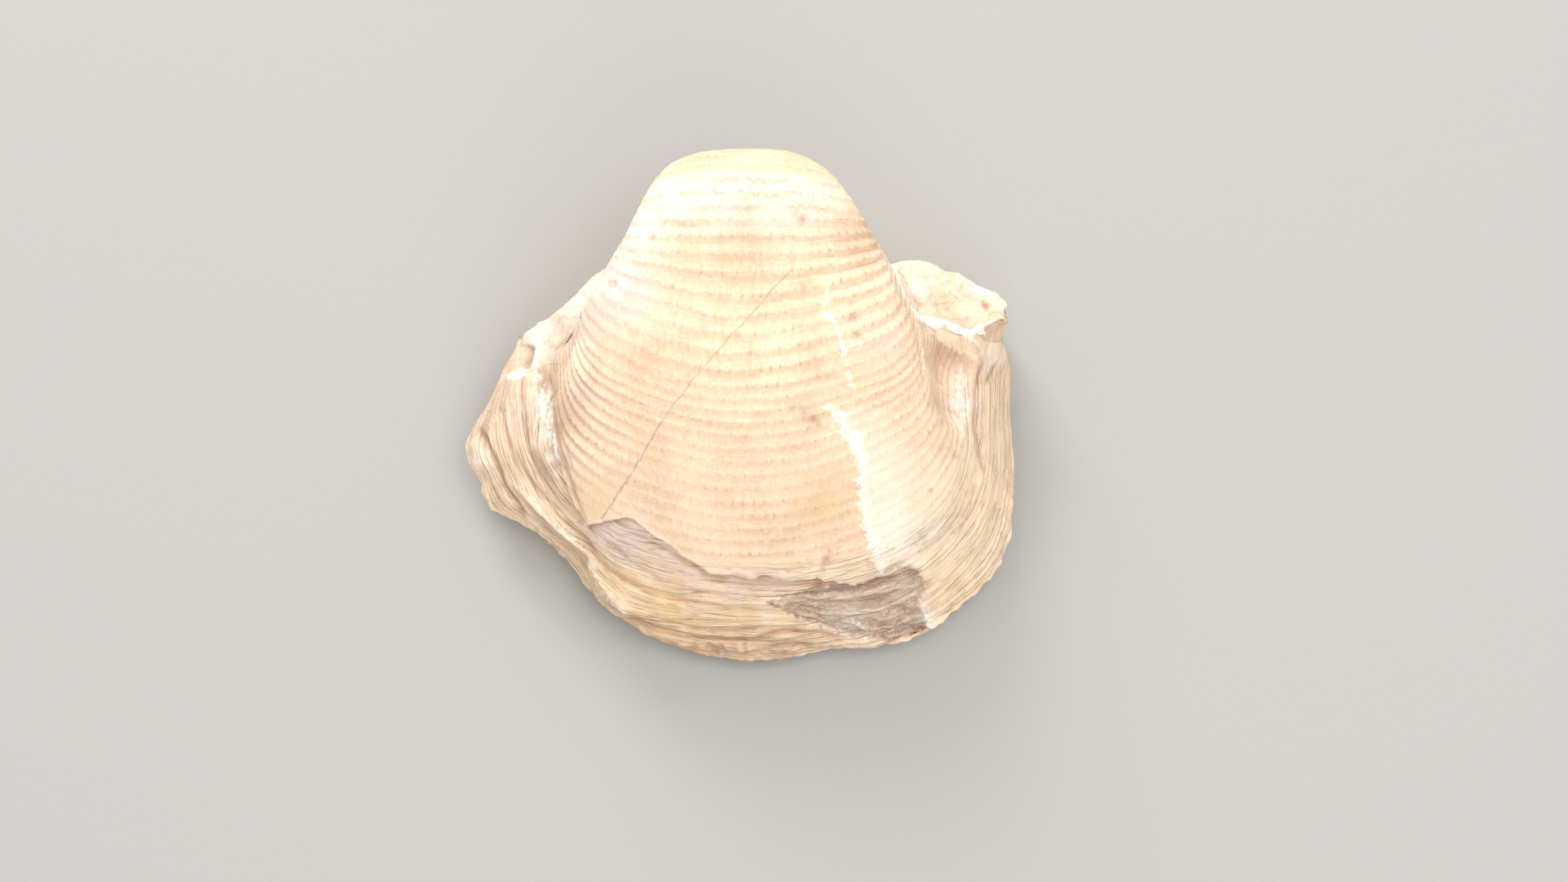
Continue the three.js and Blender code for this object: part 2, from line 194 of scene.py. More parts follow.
# Furrows and ridges along the sides: plan points, half width, height
SIDE_LINES = [
    ([(23.3, -14.5), (24.5, -21.5), (25.0, -28.5)], 2.4, -1.6),
    ([(-25.0, -16.6), (-25.4, -21.5), (-24.9, -27.0), (-23.5, -33.0), (-21.4, -38.4)], 0.8, -0.7),
    ([(-27.4, -15.0), (-27.5, -22.0), (-26.7, -28.5), (-25.1, -33.8)], 0.8, 0.95),
]
GUTTER_CALM_WIDTH = 2.6
GUTTER_CALM = 0.65
SIDE_LINE_FADE = 0.3               # share of a line over which it fades out towards the front

# Filled corners where the rock behind the hump meets the skirt: plan points, half width, height
FILLETS = [
    ([(24.0, -16.2), (26.0, -16.8), (28.5, -16.6), (30.5, -15.8)], 2.0, 1.8),
    ([(-18, -13.6), (-21.5, -16.2), (-24.6, -17.6), (-27.6, -16.8), (-29.4, -14.5)], 2.2, 1.1),
]

# The bar of rock behind the hump: X, then the foot and top of its front face, the back of its
# top face and the back of its foot
HINGE_BAR = [
    (-29.2, (-13.6, -7), (-13.4, -1.8), (-12.8, -2.4), (-12.6, -7.5)),
    (-27.6, (-16.5, -8.5), (-16.2, 0.6), (-12.6, 0.4), (-12.0, -9.5)),
    (-24.6, (-17.6, -9), (-17.4, 3.2), (-10.8, 3.0), (-10.2, -10.6)),
    (-21.5, (-16.5, -9), (-15.9, 5.4), (-9.2, 5.0), (-8.4, -11.0)),
    (-18.0, (-14, -9), (-13.0, 7.5), (-6.6, 6.5), (-5.4, -11.2)),
    (-10.0, (-9, -9), (-8.0, 6.5), (-0.6, 3.5), (1.5, -11.2)),
    (0.0, (-9, -9), (-5.0, 4.5), (1.2, 3.4), (3.6, -11.2)),
    (10.0, (-9, -9), (-8.0, 6.0), (-1.0, 2.0), (1.5, -11.2)),
    (16.6, (-14, -9), (-11.0, 6.5), (-4.4, -0.6), (-3.0, -11.2)),
    (21.5, (-16.4, -9), (-13.4, 5.0), (-3.6, 2.5), (-3.0, -11.2)),
    (27.5, (-17.8, -9), (-15.2, 5.0), (-5.4, 2.0), (-5.0, -11.0)),
    (31.4, (-15.8, -9), (-13.8, 5.0), (-8.6, 1.0), (-8.6, -10.4)),
    (32.8, (-14.2, -8), (-12.6, 4.0), (-9.8, 0.5), (-10.4, -8.6)),
]
BAR_ENDS = [0.92, 0.7, 0.35]       # how the ends of the bar narrow
BAR_END_REACH = 0.15
BAR_RELIEF_RISES = (0.8, 3.5)      # heights above the floor over which its relief sets in

# Broken faces: the middle of each, and the loop round it, clockwise from above
LEFT_SHOULDER = (
    (-23.2, -12.4, 1.2),
    [
        (-17.6, -7.4, 3.2), (-18.6, -13.0, 6.2), (-21.3, -16.2, 3.9), (-24.8, -18.4, 1.7),
        (-28.8, -18.8, -1.4), (-34, -17, -4.5), (-34, -8, -7), (-26, -2, -6), (-17.2, 0, -1),
    ],
)
RIGHT_EAR = (
    (26.0, -9.4, -0.8),
    [
        (28, 1, -5), (36, -4, -5), (36, -12, 0), (32.4, -12.4, 2.0), (30.2, -13.6, 3.2),
        (27.5, -15.2, 3.6), (23.5, -14.0, 3.5), (20.8, -13.2, 3.6), (19.4, -9.2, 1.8),
        (17.9, -4.2, -1.2), (17.6, 1, -4),
    ],
)
BREAK_TOP = 30.0
# How hollow and how uneven each broken face is, and the first seed of its noise
SHOULDER_BREAK = (0.0, 0.45, 101)
EAR_BREAK = (0.9, 0.8, 111)

# Fineness of the surface
COLUMN_SPACING = 0.36
HUMP_ROW_SPACING = 0.24
BACK_ROW_SPACING = 0.42
BACK_ANGLE = 112.0                 # from here the hump is behind its top, and its rows lie wider
COVERED_FROM = 202.0               # stations from here on lie in the rock behind the hump
COVERED_SPACING = 1.1
BEAK_ROWS = 26
SKIRT_ROWS = (7, 16, 30, 8, 6, 12, 6)  # rows between neighbouring lines of the skirt and underside
REST_INNER_SHARE = 0.25
REST_HOLLOW = 0.25                 # the middle of the resting face is worn a little hollow
CORNER_PASSES = 6
ROCK_LEVELS = (3.2, 4.4)           # levels of the skirt over which its underside turns to bare rock
BAR_SPACING = 0.42
BAR_SIDE = 22                      # points on each side of the bar's cross-section
BREAK_SPACING = 0.4
BREAK_ROWS = 34
FAR = 3.0
FRINGE_FAR = 8
SEAM_REACH = 3
SEAM_PASSES = 5
TRIANGLES = 194000

# Uneven fields: strength, size of the lumps in mm and seed of each part that is added up
SPINE_WANDER = [(0.3, 2.2, 6)]
MARK_WANDER = [(0.12, 1.4, 71)]
BAND_WANDER = [(0.12, 7.5, 1), (0.075, (3.5, 1.8, 1.8), 2), (0.035, 0.9, 3)]
EDGE_WANDER = [(0.2, 1.7, 11), (0.1, 0.7, 12)]
LAYER_WANDER = [(0.5, (14, 6, 1), 21), (0.08, (3.5, 1.6, 1), 22)]
FAN_WANDER = [(0.4, 1.9, 31), (0.2, 0.7, 32)]
FIBRE_WANDER = [(0.8, 3.0, 36), (0.3, 1.2, 37)]
FRINGE_WANDER = [(0.35, 1.7, 41), (0.3, 0.8, 42)]
SWELL = [(0.16, 9, 51), (0.07, 3.6, 52), (0.03, 1.2, 53), (0.02, 0.55, 54)]

# The studio: direction, brightness and size of each soft light
LIGHTS = {
    "key": ((-0.32, 0.8, 0.5), 0.72, 0.35),
    "top": ((0.3, 0.0, 0.95), 0.45, 0.6),
    "front": ((0.2, -0.75, 0.6), 0.28, 0.6),
}
LIGHT_DISTANCE = 0.8
WORLD_BRIGHTNESS = 0.75
FLOOR_COLOUR = (0.42, 0.41, 0.39, 1.0)
FLOOR_HALF = 1.5


@dataclass
class Mark:
    """A line seen in the photograph: its pixels, its half width in mm (one, or one for each of the
    line's points), its height in mm, and how it is tinted. Its dark tint is painted shade, in the
    groove or hollow that it cuts or under an edge."""
    line: list
    half_width: float
    height: float = 0.0
    white: float = 0.0
    dark: float = 0.0
    taper: float = 0.12            # share of the line over which each end fades


MARKS = [
    # left flange, from the outside in
    Mark([(583, 518), (594, 540), (603, 560), (611, 580), (616, 597), (630, 615), (646, 640)], 0.42, -0.55,
          dark=0.9),
    Mark([(576, 536), (586, 556), (594, 580), (604, 600)], 0.8, 0.25, white=0.25),
    Mark([(611, 485), (616, 520), (626, 550), (642, 582), (662, 610), (690, 640)], 0.35, -0.3, dark=0.5),
    Mark([(622, 588), (636, 600), (650, 614), (665, 630), (682, 648), (702, 668), (722, 686)], 0.5, 0.4,
          white=0.4),
    Mark([(715, 682), (728, 700), (742, 722), (757, 742), (775, 757)], [0.3, 0.4, 0.7, 0.95, 0.6], 0.4,
          white=0.42),
    Mark([(636, 610), (655, 632), (676, 655), (700, 680), (722, 705)], 0.4, -0.3, dark=0.6),
    Mark([(683, 586), (691, 604), (701, 624), (711, 638), (722, 648)], 0.34, -0.35, dark=0.9, taper=0.2),
    Mark([(680, 632), (700, 655), (722, 678), (742, 696), (765, 712), (790, 722)], 0.32, -0.3, dark=0.6),
    Mark([(621, 462), (632, 459), (646, 456)], 0.42, 0.3, white=1.0, taper=0.05),
    Mark([(641, 450), (646, 437), (650, 422)], 0.6, -0.7, dark=0.8),
    Mark([(658, 405), (656, 440), (657, 470), (659, 500), (665, 530), (673, 560), (682, 584)],
          [0.8, 0.6, 0.6, 0.55, 0.5, 0.4, 0.25], 0.15, white=0.6, taper=0.05),
    Mark([(673, 456), (673, 490), (677, 522), (685, 552), (694, 580), (706, 615), (718, 640)],
          [0.35, 0.5, 0.6, 0.55, 0.45, 0.35, 0.3], -0.3, dark=0.75, taper=0.1),
    Mark([(681, 440), (679, 470), (681, 500), (687, 530), (695, 556), (706, 580)], 0.2, -0.2, dark=0.4),
    # painted shade under the overhanging bottom edge
    Mark([(760, 768), (800, 787), (850, 798), (900, 806), (950, 801), (1000, 793)], 1.0, 0.0, dark=0.4),
    # painted shadow line where the hump's flank meets the shoulder
    Mark([(707, 405), (692, 417), (677, 430)], 0.3, -0.2, dark=1.0, taper=0.08),
    # layers under the broken edge
    Mark([(752, 652), (790, 668), (828, 690), (858, 706), (900, 716)], 0.28, -0.22, dark=0.5),
    Mark([(738, 664), (770, 690), (810, 712), (850, 728), (900, 738)], 0.3, -0.2, dark=0.4),
    Mark([(745, 700), (790, 722), (840, 738), (890, 748), (936, 750)], 0.32, -0.28, dark=0.6),
    Mark([(735, 725), (765, 757), (800, 768), (850, 781), (890, 785), (925, 784), (960, 775), (1010, 777),
          (1040, 783)], 0.4, -0.5, dark=0.9),
    Mark([(800, 756), (850, 770), (900, 774), (940, 768)], 0.3, -0.25, dark=0.6),
    Mark([(860, 790), (905, 803), (935, 797), (965, 788), (1005, 793)], 0.32, -0.3, dark=0.6),
    Mark([(866, 789), (873, 797), (879, 806)], 0.2, -0.25, dark=0.6),
    Mark([(880, 788), (887, 797), (892, 807)], 0.2, -0.25, dark=0.6),
    Mark([(895, 789), (901, 797), (906, 806)], 0.18, -0.2, dark=0.5),
    Mark([(910, 788), (914, 796), (917, 804)], 0.18, -0.2, dark=0.5),
    Mark([(775, 764), (800, 775), (826, 786), (850, 790)], 0.3, 0.2, dark=0.3),
    Mark([(1000, 703), (1003, 712), (1009, 720)], 0.25, -0.3, dark=0.7),
    Mark([(1018, 672), (1012, 684), (1006, 697)], 0.3, -0.15, dark=0.5),
    # top edge of the fan-shaped patch
    Mark([(985, 727), (1015, 721), (1045, 716), (1075, 706), (1100, 690), (1122, 674)], 0.26, -0.35,
          dark=0.9),
    # right gutter, ridge and flank
    Mark([(1174, 440), (1178, 465), (1180, 495), (1180, 520), (1174, 545)], [0.4, 0.6, 0.7, 0.55, 0.3], 0.3,
          white=0.44),
    Mark([(1197, 412), (1200, 440), (1196, 480), (1195, 525), (1200, 556), (1208, 590)], 0.34, -0.3,
          dark=0.7),
    Mark([(1142, 398), (1152, 420), (1160, 447), (1164, 470)], 0.3, -0.2, dark=0.4),
    Mark([(1216, 428), (1213, 455), (1208, 470)], 0.3, -0.25, dark=0.5),
    Mark([(1124, 402), (1129, 420), (1132, 445), (1136, 472)], 0.24, 0.08, white=0.45, taper=0.35),
    Mark([(1200, 590), (1192, 622), (1178, 646), (1150, 660), (1128, 674)], 0.6, -0.1, dark=0.12),
    # white flecks that lead up from the paler layer, and painted shade along the hump's edge where it
    # curves away in front of the right ear
    Mark([(1010, 345), (1013, 360), (1011, 373), (1006, 378), (1014, 386), (1022, 394), (1028, 405),
          (1031, 420), (1033, 432), (1037, 442), (1039, 455), (1041, 468), (1046, 478), (1050, 488)], 0.45,
          0.05, white=0.55, taper=0.05),
    Mark([(1087, 322), (1096, 345), (1107, 368), (1116, 388), (1123, 410), (1128, 440), (1133, 470)], 0.25,
          -0.2, dark=0.3),
    # broken edge at the right end of the patch of fibres
    Mark([(1112, 690), (1122, 702), (1130, 716)], 0.4, 0.12, white=0.35),
    Mark([(1126, 733), (1131, 744), (1136, 756), (1139, 768), (1138, 778)], [0.4, 0.6, 0.5, 0.8, 0.4], 0.15,
          white=0.6),
]

# Left edge of the paler layer on the right of the hump, with its jagged white rim
FRINGE = [
    (1003, 494), (1010, 500), (1019, 512), (1026, 522), (1037, 535), (1043, 552), (1049, 575), (1051, 598),
    (1052, 618), (1057, 640), (1062, 664), (1068, 690), (1077, 712),
]
# How white the rim is at rows of the photograph, how wide in mm, and how pale the layer is behind it
FRINGE_ROWS = [488, 500, 540, 600, 650, 700, 716]
FRINGE_WHITE = [0.0, 0.9, 0.95, 0.8, 1.0, 0.9, 0.0]
FRINGE_WIDTH = [0.5, 1.1, 1.4, 0.8, 1.3, 1.5, 1.5]
FRINGE_PALE = [0.0, 0.25, 0.4, 0.6, 0.75, 0.7, 0.0]
FRINGE_RELIEF = 0.13
FRINGE_TOP = (488, 500)            # rows over which the layer sets in and ends
FRINGE_FOOT = (716, 706)
# Healed crack that runs across the hump
CRACK = [(972, 328), (950, 350), (905, 402), (860, 452), (820, 500), (790, 552), (760, 602), (735, 636)]

# The fan-shaped patch of rough fibres: its upper and lower edges and its right end
FAN_TOP = [(934, 742), (985, 728), (1015, 722), (1045, 717), (1075, 707), (1100, 696), (1135, 688)]
FAN_FOOT = [(934, 742), (955, 751), (985, 762), (1015, 774), (1045, 784), (1090, 788), (1140, 780)]
FAN_END = [(1112, 688), (1126, 700), (1134, 716), (1129, 738), (1136, 758), (1144, 782)]
FAN_OPENS = 130                    # pixels from its tip over which it becomes a patch of its own
FAN_RECESS = 0.4
FAN_RELIEF = 0.26
FAN_LUMPS = 0.07

# Crest of the broken right ear, painted white as a highlight and raised a little: pixel x and y and
# its width there, in pixels
EAR_CREST = [
    (1093, 326, 4), (1100, 345, 4), (1110, 368, 5), (1120, 384, 7), (1130, 390, 9), (1140, 395, 11),
    (1156, 397, 13), (1168, 402, 10), (1178, 406, 9), (1188, 410, 9), (1197, 402, 6), (1211, 396, 4),
    (1219, 391, 2),
]
CREST_SHARE = 0.42                 # of that width on each side
CREST_HEIGHT = 0.04                # for each pixel of its width
# Hollows and lumps of the ear's broken face and of the rock below its crest
EAR_MARKS = [
    Mark([(1118, 360), (1124, 368), (1129, 377)], 0.2, -0.3, dark=0.8),
    Mark([(1161, 356), (1168, 360), (1175, 366)], 0.24, -0.28, dark=0.7),
    Mark([(1203, 368), (1206, 373), (1210, 381)], 0.22, -0.5, dark=1.3),
    Mark([(1132, 333), (1140, 347), (1148, 362), (1151, 377), (1152, 388)], 0.45, -0.32, dark=0.22),
    Mark([(1152, 360), (1160, 374), (1172, 386), (1188, 394)], 0.4, -0.22, dark=0.2),
    Mark([(1170, 350), (1185, 361), (1202, 368)], 0.35, -0.3, dark=0.35),
    Mark([(1116, 348), (1128, 360), (1139, 365)], 0.7, 0.3, white=0.4),
    Mark([(1184, 351), (1203, 359), (1224, 366)], 0.9, 0.3, white=0.5),
    Mark([(1150, 339), (1166, 342), (1180, 349)], 0.5, 0.2, white=0.35),
    Mark([(1131, 397), (1142, 410), (1150, 422), (1156, 433), (1165, 452)], 0.25, 0.16, white=0.42),
    Mark([(1184, 418), (1176, 426), (1168, 437)], 0.4, -0.4, dark=0.5),
    Mark([(1187, 416), (1179, 422), (1173, 430)], 0.3, 0.35, white=0.3),
    Mark([(1160, 436), (1166, 434)], 0.3, -0.3, dark=0.8, taper=0.02),
    Mark([(1164, 450), (1168, 457)], 0.3, -0.3, dark=0.8, taper=0.02),
    Mark([(1190, 414), (1199, 430), (1203, 444)], 0.3, -0.35, dark=0.5),
    Mark([(1195, 413), (1198, 422), (1199, 430)], 0.26, 0.2, white=0.42),
    Mark([(1220, 392), (1226, 396), (1224, 410)], 0.5, -0.3, dark=0.35),
]
# Smooth brown front below the crest: pixel x and y, radius in mm, strength
EAR_FRONT = [
    (1156, 406, 1.2, 0.9), (1175, 432, 2.6, 1), (1192, 430, 2.2, 1), (1214, 424, 2, 0.9),
    (1174, 448, 1.9, 1), (1186, 452, 1.9, 0.9),
]
# Where the layers are calm beside it
EAR_CALM = [
    (1165, 430, 3.6, 1), (1195, 430, 3.2, 1), (1172, 452, 2.8, 1), (1178, 475, 2.2, 0.8),
    (1180, 512, 2, 0.7),
]
# The hump's edge in front of the ear, and the rows over which the rock that clings to it ends
HUMP_EDGE = [(1080, 300), (1090, 322), (1105, 358), (1119, 388), (1127, 424)]
HUMP_EDGE_FOOT = (417, 405)
HUMP_EDGE_REACH = 6
# Parts of the picture, from corner to corner, in which the left shoulder and the ear's front run on
# into the skirt's layers, and the pixels between which their own marks show
SHOULDER_AREA = (600, 395, 700, 480)
EAR_AREA = (1130, 395, 1250, 450)
SHOULDER_MARKS_TO = 720
EAR_MARKS_FROM = 1088
EAR_MARKS_DOWN_TO = 470
JOINT_WIDTH = 1.6                  # in mm on each side of the seam
JOINT_REACH = 1.0
JOINT_PASSES = 6
JOINT_MARKS = (1.5, 3.5)           # distances over which the rock's marks go over to the shell's
JOINT_IN_FRONT_OF = -8
JOINT_ABOVE = -8
# Corners worn round: pixel x and y, radius in mm
WORN = [
    (1136, 392, 0.9), (1237, 384, 0.8), (637, 404, 1.3), (1218, 418, 1.7), (664, 458, 1.7), (685, 404, 2),
    (667, 432, 1.8),
]
# Dents and bulges in the outline of the rock: pixel x and y, radius in mm, push in mm along X and Y
DENTS = [
    (622, 426, 2, 1, 0), (1237, 414, 1.5, -0.75, 0), (1222, 360, 1.2, 0, 0.3), (1143, 319, 0.9, 0, 0.5),
    (1158, 327, 0.9, 0, -0.3), (1175, 334, 0.7, 0, 0.2), (1196, 348, 0.8, 0, -0.25),
    (1092, 318, 0.8, 0, -0.3), (655, 396, 0.8, 0, 0.2), (690, 372, 0.9, 0, -0.2),
    (584, 588, 1.7, 0.7, 0.3), (600, 625, 0.8, -0.25, -0.2),
]
DENTS_ABOVE = -9.0
WORN_ABOVE = -5
WORN_IN_FRONT_OF = -5

# Areas of the photograph with a tone of their own, some of it painted light: the darkened ones are
# painted shade, the tan ones partly painted shade, the white ones partly a painted highlight.
# Pixel x and y, radius in mm, strength
AREAS = {
    "stain": [
        (1045, 387, 0.55, 1.6), (1040, 391, 0.4, 1.2), (1048, 410, 0.5, 1.5), (1043, 372, 0.4, 0.8),
        (985, 350, 0.8, 0.7), (993, 345, 0.4, 0.8), (982, 268, 0.7, 1), (975, 262, 0.5, 0.8),
        (996, 515, 0.9, 1.1), (985, 505, 0.9, 0.7), (970, 497, 0.5, 0.8), (1002, 521, 0.5, 1),
        (1128, 655, 0.45, 0.6), (1012, 686, 0.6, 1), (1008, 697, 0.4, 1), (902, 410, 0.4, 1),
        (753, 346, 0.45, 1.2), (1170, 558, 0.4, 0.9), (1140, 600, 0.35, 0.9), (885, 390, 0.35, 0.7),
        (805, 232, 0.6, 0.6), (835, 236, 0.7, 0.8), (800, 290, 0.6, 0.8), (1120, 700, 0.8, 0.8),
        (1135, 715, 0.5, 0.9), (1050, 597, 0.3, 1.2), (1152, 518, 0.5, 0.8), (875, 233, 0.8, 0.5),
    ],
    "yellow": [
        (720, 612, 3, 0.9), (1000, 622, 3.2, 0.7), (830, 758, 8, 0.9), (900, 655, 4, 0.4),
        (760, 705, 3.5, 0.8), (795, 735, 4.5, 1), (900, 770, 5, 0.9), (960, 770, 3, 0.7),
        (1160, 690, 4, 0.7), (1200, 620, 5, 0.6), (1150, 620, 3, 0.3),
    ],
    "lilac": [
        (765, 358, 4.2, 1), (742, 392, 3, 0.8), (738, 652, 2.2, 0.9), (775, 662, 2.6, 0.9),
        (815, 690, 2.4, 0.9), (850, 712, 2.2, 0.8), (900, 722, 2.6, 0.6), (950, 722, 2.6, 0.5),
        (870, 215, 6, 0.6), (960, 225, 6, 0.5), (690, 560, 2, 0.3), (775, 300, 2.5, 0.6),
        (1080, 420, 3, 0.5), (715, 480, 2.5, 0.4), (635, 500, 3, 0.3), (900, 800, 3, 0.25),
        (1184, 500, 1.5, 0.4), (915, 198, 3, 0.6),
    ],
    # tan areas: stains, and painted shade in the left furrow, the right gutter and under the bottom edge
    "tan": [
        (920, 292, 5.5, 0.6), (1045, 285, 5, 0.45), (855, 290, 4, 0.3), (1000, 480, 4, 0.25),
        (1005, 620, 4.5, 0.35), (690, 520, 3, 0.4), (712, 480, 2.5, 0.5), (1160, 490, 2, 0.45),
        (1172, 422, 2.6, 0.9), (1192, 425, 2, 0.7), (1205, 408, 1.6, 0.5), (1150, 540, 2.5, 0.35),
        (1220, 560, 3, 0.15), (830, 740, 5, 0.3), (900, 768, 4.5, 0.4), (880, 798, 3, 0.7),
        (785, 772, 3, 0.3), (950, 800, 3, 0.25), (690, 390, 2.5, 0.25), (790, 430, 6, 0.12),
        (670, 560, 4, 0.15), (780, 430, 4, 0.3),
    ],
    # darkened areas, painted shade: on the top where it lies in the strongest light, on the ear's front, the
    # shoulder, in the left furrow and under the bottom edge
    "painted_shade": [
        (900, 205, 9, 0.75), (980, 235, 6, 0.5), (1045, 275, 4, 0.3), (655, 425, 3, 0.5),
        (685, 388, 3, 0.65), (1170, 420, 2.8, 0.95), (1195, 424, 2.4, 0.9), (690, 500, 2.5, 0.75),
        (680, 520, 1.2, 0.8), (688, 560, 1.2, 0.8), (678, 480, 1, 0.8), (700, 598, 1.2, 0.5),
        (1050, 735, 5, 0.2), (800, 787, 2.4, 0.9), (850, 800, 2.4, 1), (900, 806, 2.4, 1),
        (955, 802, 2.4, 0.9), (740, 765, 2.2, 0.5), (1010, 798, 2.2, 0.5), (855, 310, 6, 0.2),
    ],
    # white areas: chalk, and painted highlight on the overlit top edge and on raised ridges
    "chalk_and_highlight": [
        (812, 225, 5, 1), (780, 270, 4, 0.9), (755, 320, 3, 0.8), (880, 200, 7, 0.9), (950, 205, 7, 0.85),
        (1010, 230, 4.5, 0.6), (745, 345, 2.5, 0.7), (1100, 335, 2.5, 0.6), (700, 372, 3, 0.9),
        (725, 355, 2, 0.8), (660, 400, 2.6, 0.9), (660, 425, 1.6, 0.7), (656, 478, 0.9, 0.7),
        (711, 424, 1.5, 0.7), (716, 440, 1.2, 0.5), (660, 505, 0.9, 0.9), (665, 532, 0.8, 0.9),
        (673, 560, 0.6, 0.9), (681, 580, 0.4, 0.7), (745, 660, 1.8, 0.45), (1125, 345, 2.6, 0.6),
        (1200, 358, 2.2, 0.6), (1087, 640, 2.6, 0.6), (1072, 575, 1.6, 0.4), (1210, 445, 1, 0.7),
        (1179, 468, 0.9, 0.6), (1184, 492, 1.5, 0.9), (1179, 516, 0.9, 0.5), (586, 560, 1.6, 0.75),
        (772, 672, 2.2, 0.55), (1150, 600, 3, 0.3), (1138, 652, 2.2, 0.6), (1030, 720, 2, 0.3),
        (1020, 762, 1.5, 0.45), (1048, 764, 1.7, 0.6), (1122, 690, 0.8, 0.5), (1110, 718, 1.6, 0.25),
        (1135, 755, 1.2, 0.8), (935, 760, 1, 0.4),
    ],
}

# Fields that the surface carries for its material. Where a surface has no value of its own for
# one, it is 0 or the one given in BARE. source tells the joined surfaces apart.
FIELDS = (
    "band", "spine", "strength", "edge", "layer", "along", "hump", "cavity", "white", "dark", "fan", "ray",
    "paling", "rim", "fringe", "crack", "rock", "source", *AREAS,
)
BARE = {"edge": -FAR, "fan": -FAR, "crack": FAR, "fringe": -FRINGE_FAR, "rock": 1, "source": 1}


def smoothstep(value, low, high):
    share = np.clip((value - low) / (high - low), 0, 1)
    return share * share * (3 - 2 * share)


def mix(a, b, share):
    return a + (b - a) * share


def bell(distance, width):
    return np.exp(-((distance / width) ** 2))


def signed_power(value, power):
    return np.sign(value) * np.abs(value) ** power


def stacked(*values):
    return np.stack(np.broadcast_arrays(*values), axis=-1)


def lattice_value(cell, seed):
    """Random value between -1 and 1 for each whole-numbered cell."""
    x, y, z = (cell[..., axis].astype(np.int64) for axis in range(3))
    key = (x * 73856093) ^ (y * 19349663) ^ (z * 83492791) ^ (seed * 2654435761)
    key = (key ^ (key >> 13)) * 1274126177 & 0xFFFFFFFF
    key = (key ^ (key >> 16)) * 668265263 & 0xFFFFFFFF
    return (key & 0xFFFF) / 32767.5 - 1


def noise(points, size, seed=0):
    """Smooth random field between -1 and 1, with lumps of about a size; size may be one per axis."""
    cell = points / np.asarray(size, float)
    base = np.floor(cell)
    part = cell - base
    part = part * part * (3 - 2 * part)
    total = np.zeros(points.shape[:-1])
    for corner in np.ndindex(2, 2, 2):
        weight = np.prod(np.where(np.array(corner), part, 1 - part), axis=-1)
        total += weight * lattice_value(base + np.array(corner), seed)
    return total


def rough(points, size, seed=0, octaves=3):
    """Several sizes of noise, each half as large and half as strong as the last."""
    return sum(noise(points, np.asarray(size, float) / 2**k, seed + k) / 2**k for k in range(octaves))


def uneven(points, parts):
    return sum(strength * noise(points, size, seed) for strength, size, seed in parts)


def line_distance(points, line):
    """Distance from plan or picture points to a line, the side they are on, and the share along it."""
    line = np.asarray(line, float)
    lengths = np.linalg.norm(np.diff(line, axis=0), axis=1)
    starts = np.concatenate([[0], np.cumsum(lengths)])
    best = np.full(points.shape[:-1], np.inf)
    side = np.ones(points.shape[:-1])
    along = np.zeros(points.shape[:-1])
    for i, (start, end) in enumerate(zip(line[:-1], line[1:])):
        way = end - start
        share = np.clip(((points - start) @ way) / (way @ way), 0, 1)
        off = points - start - share[..., None] * way
        distance = np.hypot(off[..., 0], off[..., 1])
        nearer = distance < best
        best = np.where(nearer, distance, best)
        cross = way[0] * off[..., 1] - way[1] * off[..., 0]
        side = np.where(nearer, np.where(cross < 0, -1.0, 1.0), side)
        along = np.where(nearer, (starts[i] + share * lengths[i]) / starts[-1], along)
    return best, side, along


def width_along(line, widths, along):
    """A line's width at shares along it, from one width for each of its points or one for all."""
    lengths = np.linalg.norm(np.diff(np.asarray(line, float), axis=0), axis=1)
    shares = np.concatenate([[0], np.cumsum(lengths)]) / lengths.sum()
    return np.interp(along, shares, np.broadcast_to(widths, shares.shape))


def picture_points(points):
    """Pixels of the photograph at which points of the hinge frame appear."""
    tilt = np.radians(ELEVATION)
    forward = np.array([0, np.cos(tilt), -np.sin(tilt)])
    up = np.array([0, np.sin(tilt), np.cos(tilt)])
    away = points - CAMERA
    scale = LENS / SENSOR * PICTURE[0] / (away @ forward)
    return np.stack([PICTURE[0] / 2 + away[..., 0] * scale, PICTURE[1] / 2 - (away @ up) * scale], axis=-1)


def picture_distance(pixels, x, y):
    """Distance in mm from points that appear at pixels to one pixel of the photograph."""
    return np.linalg.norm(pixels - np.array([x, y]), axis=-1) / PIXELS_PER_MM


def facing_camera(points, normals):
    """1 where a surface faces the camera squarely, 0 where it is seen edge on."""
    view = CAMERA - points
    return (normals * view).sum(axis=-1) / np.linalg.norm(view, axis=-1)


def spots(pixels, seen, entries):
    """The strongest of some round spots at each point that the photograph shows."""
    total = np.zeros(seen.shape)
    for x, y, radius, strength in entries:
        total = np.maximum(total, strength * bell(picture_distance(pixels, x, y), radius))
    return total * seen


def apply_marks(pixels, seen, points, marks):
    """Height, whiteness and darkness that the marks give to each point that the photograph shows."""
    height, white, dark = (np.zeros(seen.shape) for _ in range(3))
    wander = uneven(points, MARK_WANDER)
    for mark in marks:
        distance, _, along = line_distance(pixels, mark.line)
        ends = smoothstep(along, 0, mark.taper) * smoothstep(1 - along, 0, mark.taper)
        half_width = width_along(mark.line, mark.half_width, along)
        weight = bell(distance / PIXELS_PER_MM + wander, half_width) * ends * seen
        height += weight * mark.height
        white = np.maximum(white, weight * mark.white)
        dark = np.maximum(dark, weight * mark.dark)
    return height, white, dark


def growth_radius(angles):
    return MARGIN_RADIUS * np.exp(-RADIUS_DECAY * np.radians(angles))


